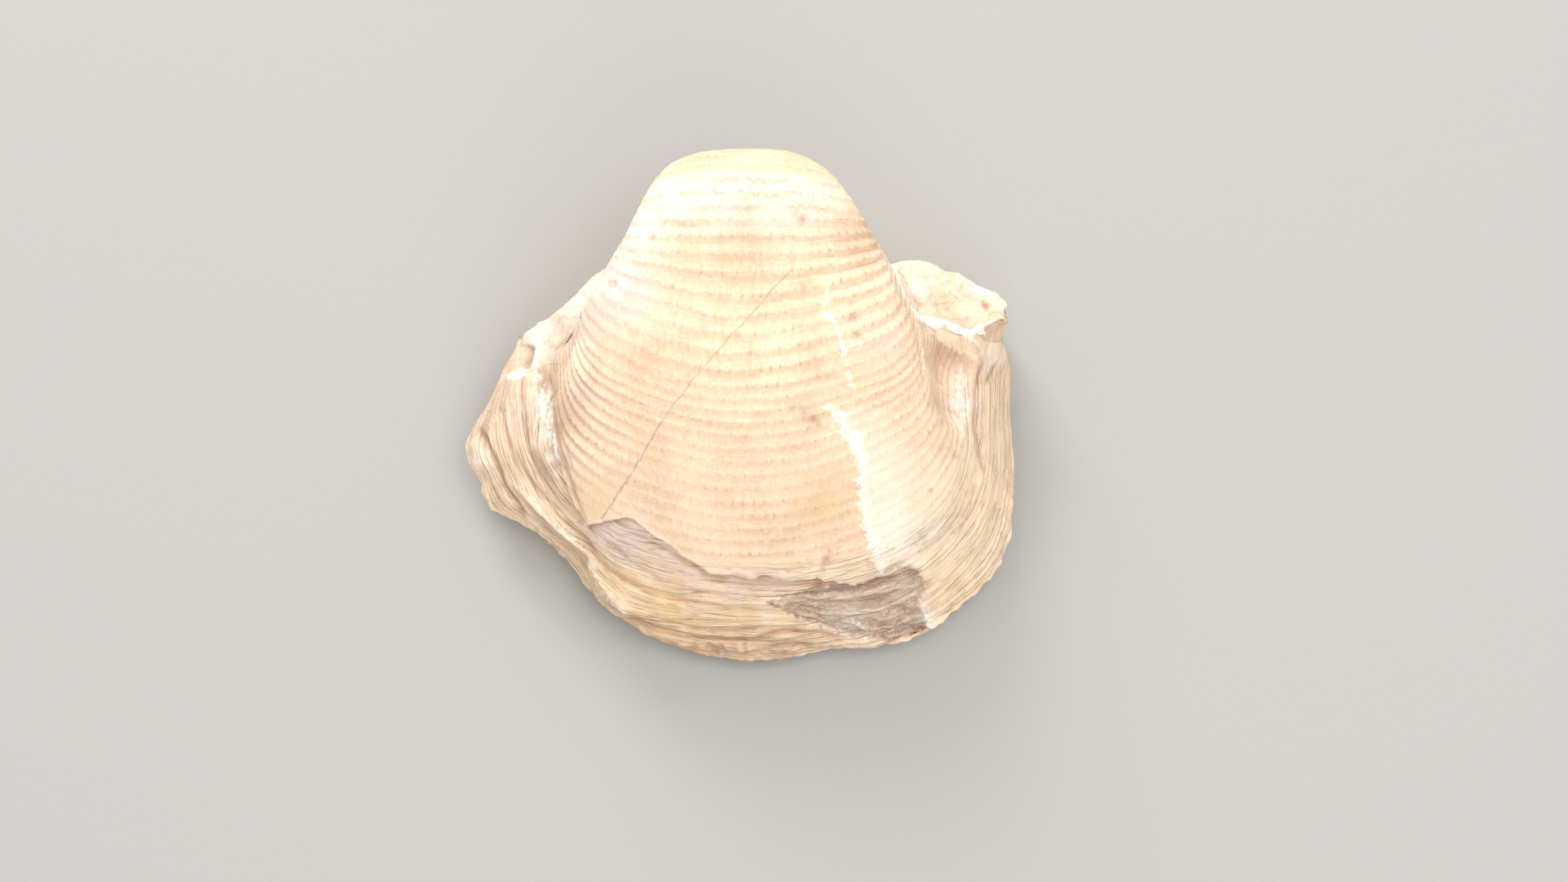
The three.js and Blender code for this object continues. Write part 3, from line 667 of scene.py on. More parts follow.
def hump_points(angles, stations):
    """Points of the growth lines at angles about the hinge line, at stations round their arches."""
    growth = np.radians(angles)
    radius = growth_radius(angles)
    half_width = MARGIN_HALF_WIDTH * np.exp(-WIDTH_DECAY * growth)
    power = np.maximum(ARCH_POWER - ARCH_POWER_DROP * growth, ARCH_POWER_LEAST)
    spring = radius * (SPRING_SHARE + SPRING_SHARE_RISE * growth)
    beak = np.maximum(0, (angles - BEAK_START) / (BEAK_END - BEAK_START))
    taper = np.sqrt(np.maximum(0, 1 - beak**2))

    along, across = np.cos(np.radians(stations)), np.sin(np.radians(stations))
    outer = across >= 0
    share = 2 / np.where(outer, power, ROOT_POWER)
    x = half_width * taper * signed_power(along, share)
    reach = np.where(outer, radius - spring, spring - ROOT_SHARE * radius)
    sulcus = np.where(outer, SULCUS_DEPTH * taper * bell(x, SULCUS_HALF_WIDTH), 0)
    r = spring + reach * taper * signed_power(across, share) - sulcus
    lean = LEAN * smoothstep(angles, *LEAN_ANGLES)
    return stacked(x + lean, -r * np.cos(growth), r * np.sin(growth))


def band_crowding(angles):
    return np.minimum(1, (growth_radius(angles) / CROWDED_RADIUS) ** CROWDING_POWER)


def band_crests():
    """Growth angles of the bands' crests: those in the photograph, and then on to the beak."""
    angles = np.linspace(MARGIN_ANGLE, BACK_ANGLE, 500)
    rows = picture_points(hump_points(angles, np.full_like(angles, 90.0)))[:, 1]
    crests = list(np.interp(-np.array(BAND_ROWS, float), -rows, angles))
    while crests[-1] < CRESTS_TO:
        width = MIDDLE_BAND * band_crowding(crests[-1])
        radius = growth_radius(crests[-1])
        crests.append(crests[-1] + np.degrees(width / (radius * np.hypot(1, RADIUS_DECAY))))
    return np.array([2 * crests[0] - crests[1], *crests])


def skirt_stations():
    return np.array([entry[0] for entry in SKIRT] + [SKIRT[0][0] + 360], float)


def skirt_line(which, stations):
    """Points of the skirt's shelf (1), crest (2) or outer edge (3) at stations round the arch."""
    count = len(SKIRT)
    starts = skirt_stations()
    points = np.array([entry[which] for entry in SKIRT], float)
    index = np.clip(np.searchsorted(starts, stations, side="right") - 1, 0, count - 1)
    share = ((stations - starts[index]) / (starts[index + 1] - starts[index]))[:, None]
    before, start, end, after = (points[(index + step) % count] for step in (-1, 0, 1, 2))
    pairs = ((before, start), (start, end), (end, after))
    first, middle, last = (np.linalg.norm(b - a, axis=1, keepdims=True) ** 0.5 for a, b in pairs)
    leave = ((start - before) / first - (end - before) / (first + middle)) * middle + end - start
    arrive = ((after - end) / last - (after - start) / (middle + last)) * middle + end - start
    bend = 3 * (end - start) - 2 * leave - arrive
    twist = 2 * (start - end) + leave + arrive
    return start + share * (leave + share * (bend + share * twist))


def station_columns():
    """Stations round the arch, about evenly spaced along the shelf and wider where rock covers them."""
    starts = skirt_stations()
    shelf = np.array([entry[1] for entry in SKIRT] + [SKIRT[0][1]], float)
    columns = []
    for start, end, length in zip(starts, starts[1:], np.linalg.norm(np.diff(shelf, axis=0), axis=1)):
        spacing = COVERED_SPACING if start >= COVERED_FROM else COLUMN_SPACING
        columns.append(np.linspace(start, end, max(2, round(length / spacing)), endpoint=False))
    return np.concatenate(columns)


def hump_angles():
    """Growth angles of the hump's rows, from the beak to its last growth line."""
    full = MARGIN_RADIUS * np.hypot(1, RADIUS_DECAY) / RADIUS_DECAY

    def between(low, high, spacing):
        lengths = full * (1 - np.exp(-RADIUS_DECAY * np.radians([low, high])))
        rows = np.linspace(*lengths, round((lengths[1] - lengths[0]) / spacing), endpoint=False)
        return np.degrees(-np.log(1 - rows / full) / RADIUS_DECAY)

    front = between(MARGIN_ANGLE, BACK_ANGLE, HUMP_ROW_SPACING)
    back = between(BACK_ANGLE, BEAK_START, BACK_ROW_SPACING)
    tip = mix(BEAK_START, BEAK_END - BEAK_TIP, 1 - (1 - np.linspace(0, 1, BEAK_ROWS)) ** 2)
    return np.concatenate([front, back, tip])[::-1]


def inset_ring(outline, centre, inset, height):
    out = outline[:, :2] - centre[:2]
    length = np.linalg.norm(out, axis=1, keepdims=True)
    heights = np.full(len(out), height - HINGE[2])
    return np.column_stack([centre[:2] + out * (length - inset) / length, heights])


def skirt_rings(stations):
    """Rings from the hump's last growth line down to the middle of the resting face, and their levels."""
    margin = hump_points(np.full_like(stations, MARGIN_ANGLE), stations)
    shelf, crest, edge = (skirt_line(which, stations) for which in (1, 2, 3))
    centre = skirt_line(3, skirt_stations()[:-1]).mean(axis=0)
    ground = np.append(centre[:2], -HINGE[2])
    foot = inset_ring(edge, centre, FOOT_INSET, FOOT_HEIGHT)
    rim = inset_ring(edge, centre, RIM_INSET, RIM_HEIGHT)
    rest = mix(ground, rim, REST_SHARE)
    rest[:, 2] = -HINGE[2]
    lines = [margin, shelf, crest, edge, foot, rim, rest, mix(ground, rest, REST_INNER_SHARE)]
    rings, levels = [], []
    for level, count in enumerate(SKIRT_ROWS):
        for share in np.arange(1, count + 1) / count:
            rings.append(mix(lines[level], lines[level + 1], share))
            levels.append(level + share)
    return np.array(rings), np.array(levels)


def rounded(rings, first, last, passes):
    """The same rings with the corners between rows first and last worn round."""
    rings = rings.copy()
    for _ in range(passes):
        part = rings[first:last]
        part[1:-1] = (part[:-2] + 2 * part[1:-1] + part[2:]) / 4
    return rings


def softened(ring, passes, axis=0):
    """The same closed ring, or rings along an axis, with each value drawn towards its neighbours."""
    for _ in range(passes):
        ring = (np.roll(ring, 1, axis=axis) + 2 * ring + np.roll(ring, -1, axis=axis)) / 4
    return ring


def blurred(values, passes):
    for _ in range(passes):
        padded = np.concatenate([values[:1], values, values[-1:]])
        values = softened((padded[:-2] + 2 * values + padded[2:]) / 4, 1, axis=1)
    return values


def grid_normals(points):
    down = np.gradient(points, axis=0)
    around = np.roll(points, -1, axis=1) - np.roll(points, 1, axis=1)
    normal = np.cross(around, down)
    return normal / np.maximum(np.linalg.norm(normal, axis=-1, keepdims=True), 1e-9)


def lengths_along(points, middle):
    """Distance along each row of points, from its column number middle."""
    steps = np.linalg.norm(np.diff(points, axis=1), axis=-1)
    total = np.concatenate([np.zeros((len(points), 1)), np.cumsum(steps, axis=1)], axis=1)
    return total - total[:, middle:middle + 1]


def terrace(value, drop=0.16):
    """Layers whose broken edges step down outwards: a slow rise, then a sharp drop, around 0."""
    part = value - np.floor(value)
    return np.where(part < 1 - drop, part / (1 - drop), (1 - part) / drop) - 0.5


class Shell:
    """The hump and skirt as a grid of points: rows from the beak down to the resting face, columns
    round the arch. Its methods give the height of one relief each, and keep the fields it needs."""

    def __init__(self):
        self.stations = station_columns()
        angles = hump_angles()
        skirt, levels = skirt_rings(self.stations)
        base = np.concatenate([hump_points(angles[:, None], self.stations[None, :]), skirt])
        margin_row = len(angles) - 1
        rest_row = margin_row + sum(SKIRT_ROWS[:6])
        self.base = base = rounded(base, margin_row - 3, rest_row + 1, CORNER_PASSES)
        self.x, self.y, self.z = np.moveaxis(base, -1, 0)
        self.normals = grid_normals(base)
        self.pixels = picture_points(base)
        self.growth = np.concatenate([angles, np.full(len(levels), MARGIN_ANGLE)])[:, None]
        self.level = np.concatenate([np.zeros(len(angles)), levels])[:, None]
        seen = smoothstep(facing_camera(base, self.normals), *SEEN_FACING)
        seen = seen * smoothstep(self.growth, *SEEN_ANGLES) * smoothstep(self.level, *SEEN_LEVELS)
        self.seen = seen * (self.y < SEEN_IN_FRONT_OF)
        self.fields = {"source": 0, "rock": smoothstep(self.level, *ROCK_LEVELS)}
        self.measure(margin_row)

    def measure(self, margin_row):
        """Coordinates in the surface: along a growth line, and down from the hump's last one."""
        self.middle = int(np.argmin(np.abs(self.stations - 90)))
        along = lengths_along(self.base, self.middle)
        steps = np.linalg.norm(np.diff(self.base, axis=0), axis=-1)
        down = np.concatenate([np.zeros((1, len(self.stations))), np.cumsum(steps, axis=0)])
        down -= down[margin_row]
        front = (self.stations > 0) & (self.stations < 180)
        self.depth = mix(down, down[:, front].mean(axis=1, keepdims=True), DEPTH_EVENNESS)
        self.flat = stacked(along, self.depth, 0 * along)
        self.fields["along"] = along

    def bands(self):
        """Growth bands and the rows of spine bases on them."""
        crests = band_crests()
        band = np.interp(self.growth, crests, np.arange(len(crests)) + BAND_CREST)
        band = band + uneven(self.base, BAND_WANDER)
        sag_middle, sag_width, sag = BAND_SAG
        band = band - sag * (1 - bell(self.x - sag_middle, sag_width)) * smoothstep(band, *SAG_FADES)
        number = np.clip(np.floor(band), 0, len(crests) - 1).astype(int)
        share = band - np.floor(band)
        crest_along = lengths_along(hump_points(crests[:, None], self.stations[None, :]), self.middle)
        phase = lattice_value(stacked(number, number * 0, number * 0), 9)
        spine = np.take_along_axis(crest_along, number, axis=0) / SPINE_SPACING + phase
        past = share - BAND_CREST
        side = np.where(past < 0, -past / BAND_CREST, past / (1 - BAND_CREST))
        height = BAND_RELIEF * (1 - side**BAND_ROUNDNESS)
        height = height + SPINE_RELIEF * bell(past, SPINE_WIDTH) * np.cos(2 * np.pi * spine)
        strength = self.band_strength(band, phase)
        self.fields |= {"band": band, "spine": spine + uneven(self.base, SPINE_WANDER), "strength": strength}
        return height * strength * smoothstep(self.growth, *BANDS_FADE)

    def band_strength(self, band, phase):
        total = np.full(self.seen.shape, BAND_STRENGTH)
        for x, y, radius, change in BAND_WEAR:
            total += change * bell(picture_distance(self.pixels, x, y), radius) * self.seen
        by_place, by_band = STRENGTH_VARIES
        varied = 1 + by_place * noise(stacked(self.x / 4, band, 0 * band), 1, 4) + by_band * phase
        return np.maximum(band_crowding(self.growth) * total * varied, STRENGTH_LEAST)

    def broken_edge(self):
        """The step down from the outer layer at its broken edge."""
        distance, side, _ = line_distance(self.base[..., :2], BROKEN_EDGE)
        outside = -side * distance + uneven(self.base, EDGE_WANDER)
        fade = 1 - smoothstep(self.x, *STEP_FADES)
        below = smoothstep(outside, -STEP_BLEND, STEP_BLEND) * fade * (self.y < STEP_IN_FRONT_OF)
        reach = 1 - smoothstep(outside, STEP_BLEND, STEP_REACH)
        skirted = smoothstep(self.depth, *LAYERS_BEGIN)
        self.layered = np.maximum(below * (distance < LAYERS_UNDER_EDGE), skirted)
        stepped = fade * (self.y < STEP_IN_FRONT_OF) > 0.3
        self.fields["hump"] = 1 - self.layered
        self.fields["edge"] = np.clip(np.where(stepped, outside, -FAR), -FAR, FAR)
        return -BROKEN_STEP * below * reach - UNDERCUT * fade * bell(outside - UNDERCUT_PLACE, UNDERCUT_WIDTH)

    def layers(self):
        """The skirt's layers: two sizes of steps, and threads."""
        flat = self.flat
        layer = self.depth + uneven(flat, LAYER_WANDER)
        left = 0.6 * smoothstep(self.stations, *LEFT_FLANK)
        flank = np.maximum(smoothstep(self.stations, *RIGHT_FLANK), left)
        (coarse, coarse_size), (medium, medium_size) = COARSE_LAYERS, MEDIUM_LAYERS
        patchy = 0.65 + 0.35 * noise(flat, (9, 2.4, 1), 23)
        coarse = coarse * patchy * terrace(layer / coarse_size + 0.2) * mix(1, FLANK_COARSE, flank)
        medium = medium * terrace(layer / medium_size + 0.5 * noise(flat, (12, 3, 1), 24))
        medium = medium * mix(1, FLANK_MEDIUM, flank) * (0.6 + 0.4 * noise(flat, (5, 1.2, 1), 26))
        threads = THREADS * noise(flat, (7, 0.42, 1), 25)
        gutter = bell(line_distance(self.base[..., :2], SIDE_LINES[0][0])[0], GUTTER_CALM_WIDTH)
        calm = 1 - 0.9 * spots(self.pixels, self.seen, EAR_CALM)
        self.fields["layer"] = layer
        return (coarse + medium + threads) * self.layered * (1 - GUTTER_CALM * gutter) * calm

    def worn_front(self):
        """Roughness of the skirt's worn outer edge."""
        level = self.level
        worn = smoothstep(level, 2.3, 3.0) * smoothstep(level, 4.6, 3.6) * smoothstep(self.y, -20, -35)
        return worn * (0.2 * rough(self.base, 1.1, 27) + 0.12 * noise(self.flat, (0.7, 4, 1), 28))

    def sides(self):
        """Furrows, ridges and filled corners at the sides."""
        plan = self.base[..., :2]
        total = sum(height * bell(line_distance(plan, line)[0], width) for line, width, height in FILLETS)
        for line, width, height in SIDE_LINES:
            distance, _, along = line_distance(plan, line)
            total = total + height * bell(distance, width) * smoothstep(1 - along, 0, SIDE_LINE_FADE)
        return total

    def fan(self):
        """The fan-shaped patch of fibres."""
        px, py = self.pixels[..., 0], self.pixels[..., 1]
        top, foot = (np.interp(px, *np.transpose(edge)) for edge in (FAN_TOP, FAN_FOOT))
        end = np.interp(py, *np.transpose(FAN_END)[::-1])
        across = np.clip((py - top) / np.maximum(foot - top, 1), 0, 1)
        tip = FAN_TOP[0][0]
        inside = np.minimum(np.minimum(py - top, foot - py), np.minimum(end - px, px - tip)) / PIXELS_PER_MM
        apart = smoothstep(px, tip, tip + FAN_OPENS)
        inside = np.where(self.seen > 0.2, inside, -FAR) + apart * uneven(self.base, FAN_WANDER)
        fibre = stacked(across * 10 + uneven(self.base, FIBRE_WANDER), px / 90, 0 * across)
        fibres = 1 - 2 * np.abs(noise(fibre, 1, 33)) - 0.7 * np.abs(noise(fibre * 2.1, 1, 34))
        self.fields |= {"fan": np.clip(inside, -FAR, FAR), "ray": across * 9}
        height = FAN_RELIEF * fibres + FAN_LUMPS * rough(self.base, 1.3, 35) - FAN_RECESS * apart
        return smoothstep(inside, -0.05, 0.25) * (self.level > 0) * height

    def fringe(self):
        """The paler layer on the right, with its raised white rim."""
        px, py = self.pixels[..., 0], self.pixels[..., 1]
        right = px > np.interp(py, *np.transpose(FRINGE)[::-1])
        inside = np.where(right, 1, -1) * line_distance(self.pixels, FRINGE)[0] / PIXELS_PER_MM
        inside = inside + uneven(self.base, FRINGE_WANDER)
        over = self.seen * smoothstep(py, *FRINGE_TOP) * smoothstep(py, *FRINGE_FOOT)
        values = (FRINGE_WHITE, FRINGE_WIDTH, FRINGE_PALE)
        white, width, pale = (np.interp(py, FRINGE_ROWS, value) for value in values)
        white = white * over
        width = width * (1 + 0.6 * noise(self.base, 1.3, 43))
        rim = smoothstep(inside, -0.12, 0.2) * smoothstep(inside, 5, 0.6)
        self.fields |= {
            "paling": pale * over,
            "rim": white * smoothstep(inside, width + 0.25, width - 0.25),
            "fringe": np.where(over > 0.05, np.clip(inside, -FRINGE_FAR, FRINGE_FAR), -FRINGE_FAR),
        }
        return FRINGE_RELIEF * rim * over * np.clip(white, 0.3, 1)

    def crack(self):
        """Distance in mm from the healed crack, with the side as its sign."""
        distance, side, share = line_distance(self.pixels, CRACK)
        beside = (self.seen > 0.3) & (share > 0) & (share < 1)
        return np.clip(np.where(beside, side * distance / PIXELS_PER_MM, FAR), -FAR, FAR)

    def solid(self):
        """The closed mesh of the finished surface."""
        base, fields = self.base, self.fields
        above_floor = smoothstep(self.z, -HINGE[2] + 0.02, -HINGE[2] + 0.9)
        bands, step = self.bands(), self.broken_edge()
        height = bands * fields["hump"] + smoothstep(self.z, *RELIEF_RISES) * (self.sides() + step)
        marked, fields["white"], fields["dark"] = apply_marks(self.pixels, self.seen, base, MARKS)
        height = height + (self.layers() + uneven(base, SWELL)) * above_floor + marked
        height = height + self.fan() + self.fringe() + self.worn_front()
        # how hollow each point is, for the painted shade in hollows and the paler convex edges
        fields["cavity"] = blurred(height, 7) - height
        fields["crack"] = self.crack()
        # the areas' tints, among them painted shade and a painted highlight
        for key, entries in AREAS.items():
            fields[key] = spots(self.pixels, self.seen, entries)
        points = base + self.normals * height[..., None]
        points[..., 2] += smoothstep(self.level, 6.0, 7.0) * (REST_HOLLOW + 0.12 * noise(base, 2.5, 55))
        return ring_solid("fossil_stone", points, **fields)


def ring_triangles(rows, columns):
    """Triangles of a closed grid of rings, with a fan over each end ring."""
    i, j = np.meshgrid(np.arange(rows - 1), np.arange(columns), indexing="ij")
    here, beside = i * columns + j, i * columns + (j + 1) % columns
    below, beyond = here + columns, beside + columns
    column = np.arange(columns)
    after = (column + 1) % columns
    last = (rows - 1) * columns
    quads = [(here, beside, below), (below, beside, beyond)]
    fans = [(rows * columns, after, column), (rows * columns + 1, last + column, last + after)]
    return np.concatenate([stacked(*corners).reshape(-1, 3) for corners in quads + fans])


def ring_solid(name, points, **given):
    """A closed mesh object through rings of points, still in millimetres of the hinge frame."""
    rows, columns = points.shape[:2]
    corners = np.concatenate([points.reshape(-1, 3), points[:1].mean(axis=1), points[-1:].mean(axis=1)])
    triangles = ring_triangles(rows, columns)
    mesh = bpy.data.meshes.new(name)
    mesh.vertices.add(len(corners))
    mesh.vertices.foreach_set("co", corners.astype(np.float32).ravel())
    mesh.loops.add(triangles.size)
    mesh.loops.foreach_set("vertex_index", triangles.astype(np.int32).ravel())
    mesh.polygons.add(len(triangles))
    mesh.polygons.foreach_set("loop_start", np.arange(0, triangles.size, 3, dtype=np.int32))
    mesh.update(calc_edges=True)
    for key in FIELDS:
        value = np.broadcast_to(given.get(key, BARE.get(key, 0)), (rows, columns))
        ends = (value[:1].mean(axis=1), value[-1:].mean(axis=1))
        write_field(mesh, key, np.concatenate([value.ravel(), *ends]))
    return linked(name, mesh)


def linked(name, data):
    """A new object in the scene that shows the data."""
    thing = bpy.data.objects.new(name, data)
    bpy.context.scene.collection.objects.link(thing)
    return thing


def ring_through(corners, counts):
    """Points of a closed ring through corners, with a count of points for each side."""
    sides = zip(corners, np.roll(corners, -1, axis=0), counts)
    return np.concatenate([mix(a, b, np.arange(count)[:, None] / count) for a, b, count in sides])


def bar_solid():
    """The bar of rock with both ears, before its faces broke away."""
    places = np.array([entry[0] for entry in HINGE_BAR], float)
    corners = np.array([[entry[k] for k in (4, 3, 2, 1)] for entry in HINGE_BAR], float)
    rows = []
    for x in np.linspace(places[0], places[-1], round((places[-1] - places[0]) / BAR_SPACING)):
        section = [[np.interp(x, places, corners[:, c, axis]) for axis in (0, 1)] for c in range(4)]
        ring = softened(ring_through(np.array(section), [BAR_SIDE] * 4), 3)
        rows.append(np.column_stack([np.full(len(ring), x), ring]))
    base = rounded(np.array(rows), 0, len(rows), 4)
    first, last = (
        [mix(ring.mean(axis=0), ring, share) + (out * (1 - share), 0, 0) for share in BAR_ENDS]
        for ring, out in ((base[0], -BAR_END_REACH), (base[-1], BAR_END_REACH))
    )
    base = np.concatenate([first[::-1], base, last])
    stretched = base * (1, 0.55, 0.4)
    height = 0.3 * noise(base, 4.5, 61) + 0.22 * rough(stretched, 1.3, 62) + 0.05 * noise(base, 0.6, 66)
    height *= smoothstep(base[..., 2] + HINGE[2], *BAR_RELIEF_RISES)
    points = base + grid_normals(base) * height[..., None]
    return ring_solid("bar", points, cavity=blurred(height, 4) - height)


def break_solid(name, middle, loop, hollow, lumps, seed):
    """The space over a broken face, from the face up to well above the stone."""
    loop, middle = np.array(loop, float), np.array(middle, float)
    lengths = np.linalg.norm(np.roll(loop, -1, axis=0) - loop, axis=1)
    ring = softened(ring_through(loop, [max(2, round(length / BREAK_SPACING)) for length in lengths]), 5)
    x, y, z = noise(ring, 1.5, seed), noise(ring, 1.5, seed + 1), 2 * noise(ring, 1.2, seed + 2)
    ring = ring + 0.22 * stacked(x, y, z)
    shares = np.linspace(0.03, 1, BREAK_ROWS)[:, None]
    face = middle + (ring - middle) * shares[..., None]
    dish = hollow * (1 - shares**2) * np.sin(np.pi * shares) ** 0.5
    relief = lumps * (0.28 * noise(face, 3.2, seed + 3) + 0.16 * rough(face, 1.5, seed + 4)) - dish
    face[..., 2] += relief * smoothstep(1 - shares, -0.05, 0.12)
    top = np.column_stack([face[-1, :, :2], np.full(len(ring), BREAK_TOP)])
    walls = [mix(face[-1], top, share) for share in (1.0, 0.5, 0.03)]
    cavity = np.concatenate([np.zeros((3, len(ring))), blurred(relief[::-1], 4) - relief[::-1]])
    return ring_solid(name, np.concatenate([walls, face[::-1]]), cavity=cavity, source=2)


def baked(thing, name, kind, **settings):
    """Adds a modifier to an object and applies it."""
    modifier = thing.modifiers.new(name, kind)
    for key, value in settings.items():
        setattr(modifier, key, value)
    graph = bpy.context.evaluated_depsgraph_get()
    mesh = bpy.data.meshes.new_from_object(thing.evaluated_get(graph))
    thing.modifiers.clear()
    thing.data = mesh


def read(items, name, width=1, kind=np.float32):
    """A property of each of a mesh's items, one row for each."""
    values = np.zeros(len(items) * width, kind)
    items.foreach_get(name, values)
    return values.reshape(-1, width)


def read_points(mesh):
    return read(mesh.vertices, "co", 3).astype(float)


def write_points(mesh, points):
    mesh.vertices.foreach_set("co", points.astype(np.float32).ravel())
    mesh.update()


def read_field(mesh, key):
    return read(mesh.attributes[key].data, "value")[:, 0]


def write_field(mesh, key, values):
    layer = mesh.attributes.get(key) or mesh.attributes.new(key, "FLOAT", "POINT")
    layer.data.foreach_set("value", np.ascontiguousarray(values, np.float32))


def raise_field(mesh, key, values):
    write_field(mesh, key, np.maximum(read_field(mesh, key), values))


def neighbour_mean(values, edges):
    """Mean over each vertex's neighbours of values that have one column per component."""
    count = np.bincount(edges.ravel(), minlength=len(values))
    total = np.column_stack([
        np.bincount(edges[:, 0], column[edges[:, 1]], len(values))
        + np.bincount(edges[:, 1], column[edges[:, 0]], len(values))
        for column in values.T
    ])
    return total / np.maximum(count, 1)[:, None]


def near_seams(edges, source):
    """1 on the seams between joined surfaces, and less on the vertices round them."""
    parted = np.abs(source[edges[:, 0]] - source[edges[:, 1]]) > 0.3
    weight = np.zeros((len(source), 1))
    weight[edges[parted].ravel()] = 1
    for _ in range(SEAM_REACH):
        weight = np.maximum(weight, 0.8 * neighbour_mean(weight, edges))
    return smoothstep(weight[:, 0], 0.05, 0.5)


def relaxed(points, edges, weight, passes):
    """Points drawn towards the mean of their neighbours, by each one's weight."""
    part = edges[weight[edges].max(axis=1) > 0.01]
    used, local_edges = np.unique(part, return_inverse=True)
    local_edges = local_edges.reshape(-1, 2)
    local, share = points[used], 0.5 * weight[used][:, None]
    for _ in range(passes):
        local = mix(local, neighbour_mean(local, local_edges), share)
    points = points.copy()
    points[used] = local
    return points


def joint_distance(points, pixels, edges, source):
    """How far each point lies from the seam between shell and rock at the left shoulder and the ear."""
    first, second = source[edges[:, 0]], source[edges[:, 1]]
    parted = (np.minimum(first, second) < 0.3) & (np.abs(first - second) > 0.3)
    seam = np.unique(edges[parted])
    distance = np.full(len(points), FAR * 3)
    for left, top, right, foot in (SHOULDER_AREA, EAR_AREA):
        inside = ((pixels > (left, top)) & (pixels < (right, foot))).all(axis=1)
        inside &= (points[:, 1] < JOINT_IN_FRONT_OF) & (points[:, 2] > JOINT_ABOVE)
        tree = kdtree.KDTree(len(seam))
        for index in seam[inside[seam]]:
            tree.insert(points[index], int(index))
        tree.balance()
        here = np.flatnonzero(inside)
        distance[here] = [tree.find(points[index])[2] or 0 for index in here]
    return distance


def point_areas(mesh, points):
    """A third of the area of the triangles round each vertex."""
    corners = read(mesh.loops, "vertex_index", kind=np.int32).reshape(-1, 3)
    a, b, c = (points[corners[:, k]] for k in range(3))
    areas = np.linalg.norm(np.cross(b - a, c - a), axis=1) / 6
    return np.bincount(corners.ravel(), np.repeat(areas, 3), len(points))


def melted(points, areas, weight, reach, passes, batch=400):
    """Points drawn towards the mean of the surface within reach of them, by each one's weight."""
    points = points.copy()
    moving = np.flatnonzero(weight > 0.01)
    moving = moving[np.argsort(points[moving, 0])]
    for _ in range(passes):
        moved = points[moving].copy()
        for start in range(0, len(moving), batch):
            part = points[moving[start:start + batch]]
            low, high = part.min(axis=0) - 3 * reach, part.max(axis=0) + 3 * reach
            near = np.flatnonzero(((points > low) & (points < high)).all(axis=1))
            apart = ((part[:, None, :] - points[near][None, :, :]) ** 2).sum(axis=-1)
            share = np.exp(-apart / reach**2) * areas[near]
            moved[start:start + batch] = (share @ points[near]) / share.sum(axis=1, keepdims=True)
        points[moving] = mix(points[moving], moved, weight[moving][:, None])
    return points


def worn_round(mesh, points, joint):
    """Points with the joints between shell and rock filled, and corners and dents worn into the rock."""
    pixels = picture_points(points)
    fill = bell(joint, JOINT_WIDTH)
    for x, y, radius in WORN:
        worn = bell(picture_distance(pixels, x, y), radius) * (points[:, 2] > WORN_ABOVE)
        fill = np.maximum(fill, worn * (points[:, 1] < WORN_IN_FRONT_OF))
    points = melted(points, point_areas(mesh, points), fill, JOINT_REACH, JOINT_PASSES)
    for x, y, radius, push_x, push_y in DENTS:
        dent = bell(picture_distance(pixels, x, y), radius)
        points = points + np.outer(dent * (points[:, 2] > DENTS_ABOVE), (push_x, push_y, 0))
    return points


def hump_edge_rock(points, pixels):
    """1 on the strip of the hump's flank, beyond its edge in the photograph, that is crusted with rock."""
    distance, side, _ = line_distance(pixels, HUMP_EDGE)
    beyond = -side * distance / PIXELS_PER_MM + 0.2 * noise(points, 0.8, 84)
    in_rows = smoothstep(pixels[:, 1], *HUMP_EDGE_FOOT) * (distance / PIXELS_PER_MM < HUMP_EDGE_REACH)
    return smoothstep(beyond, -0.05, 0.3) * in_rows


def ear_crest(points, pixels):
    """How much each point lies on the crest of the broken ear, painted white as a highlight, and its
    height there.
    """
    crest = np.array(EAR_CREST, float)
    distance, _, along = line_distance(pixels, crest[:, :2])
    width = width_along(crest[:, :2], crest[:, 2], along) * CREST_SHARE
    width *= 1 + 0.4 * noise(points, 0.9, 81)
    height = CREST_HEIGHT * width * bell(distance / PIXELS_PER_MM, 0.4)
    return smoothstep(distance, width + 1.5, width - 1.0), height


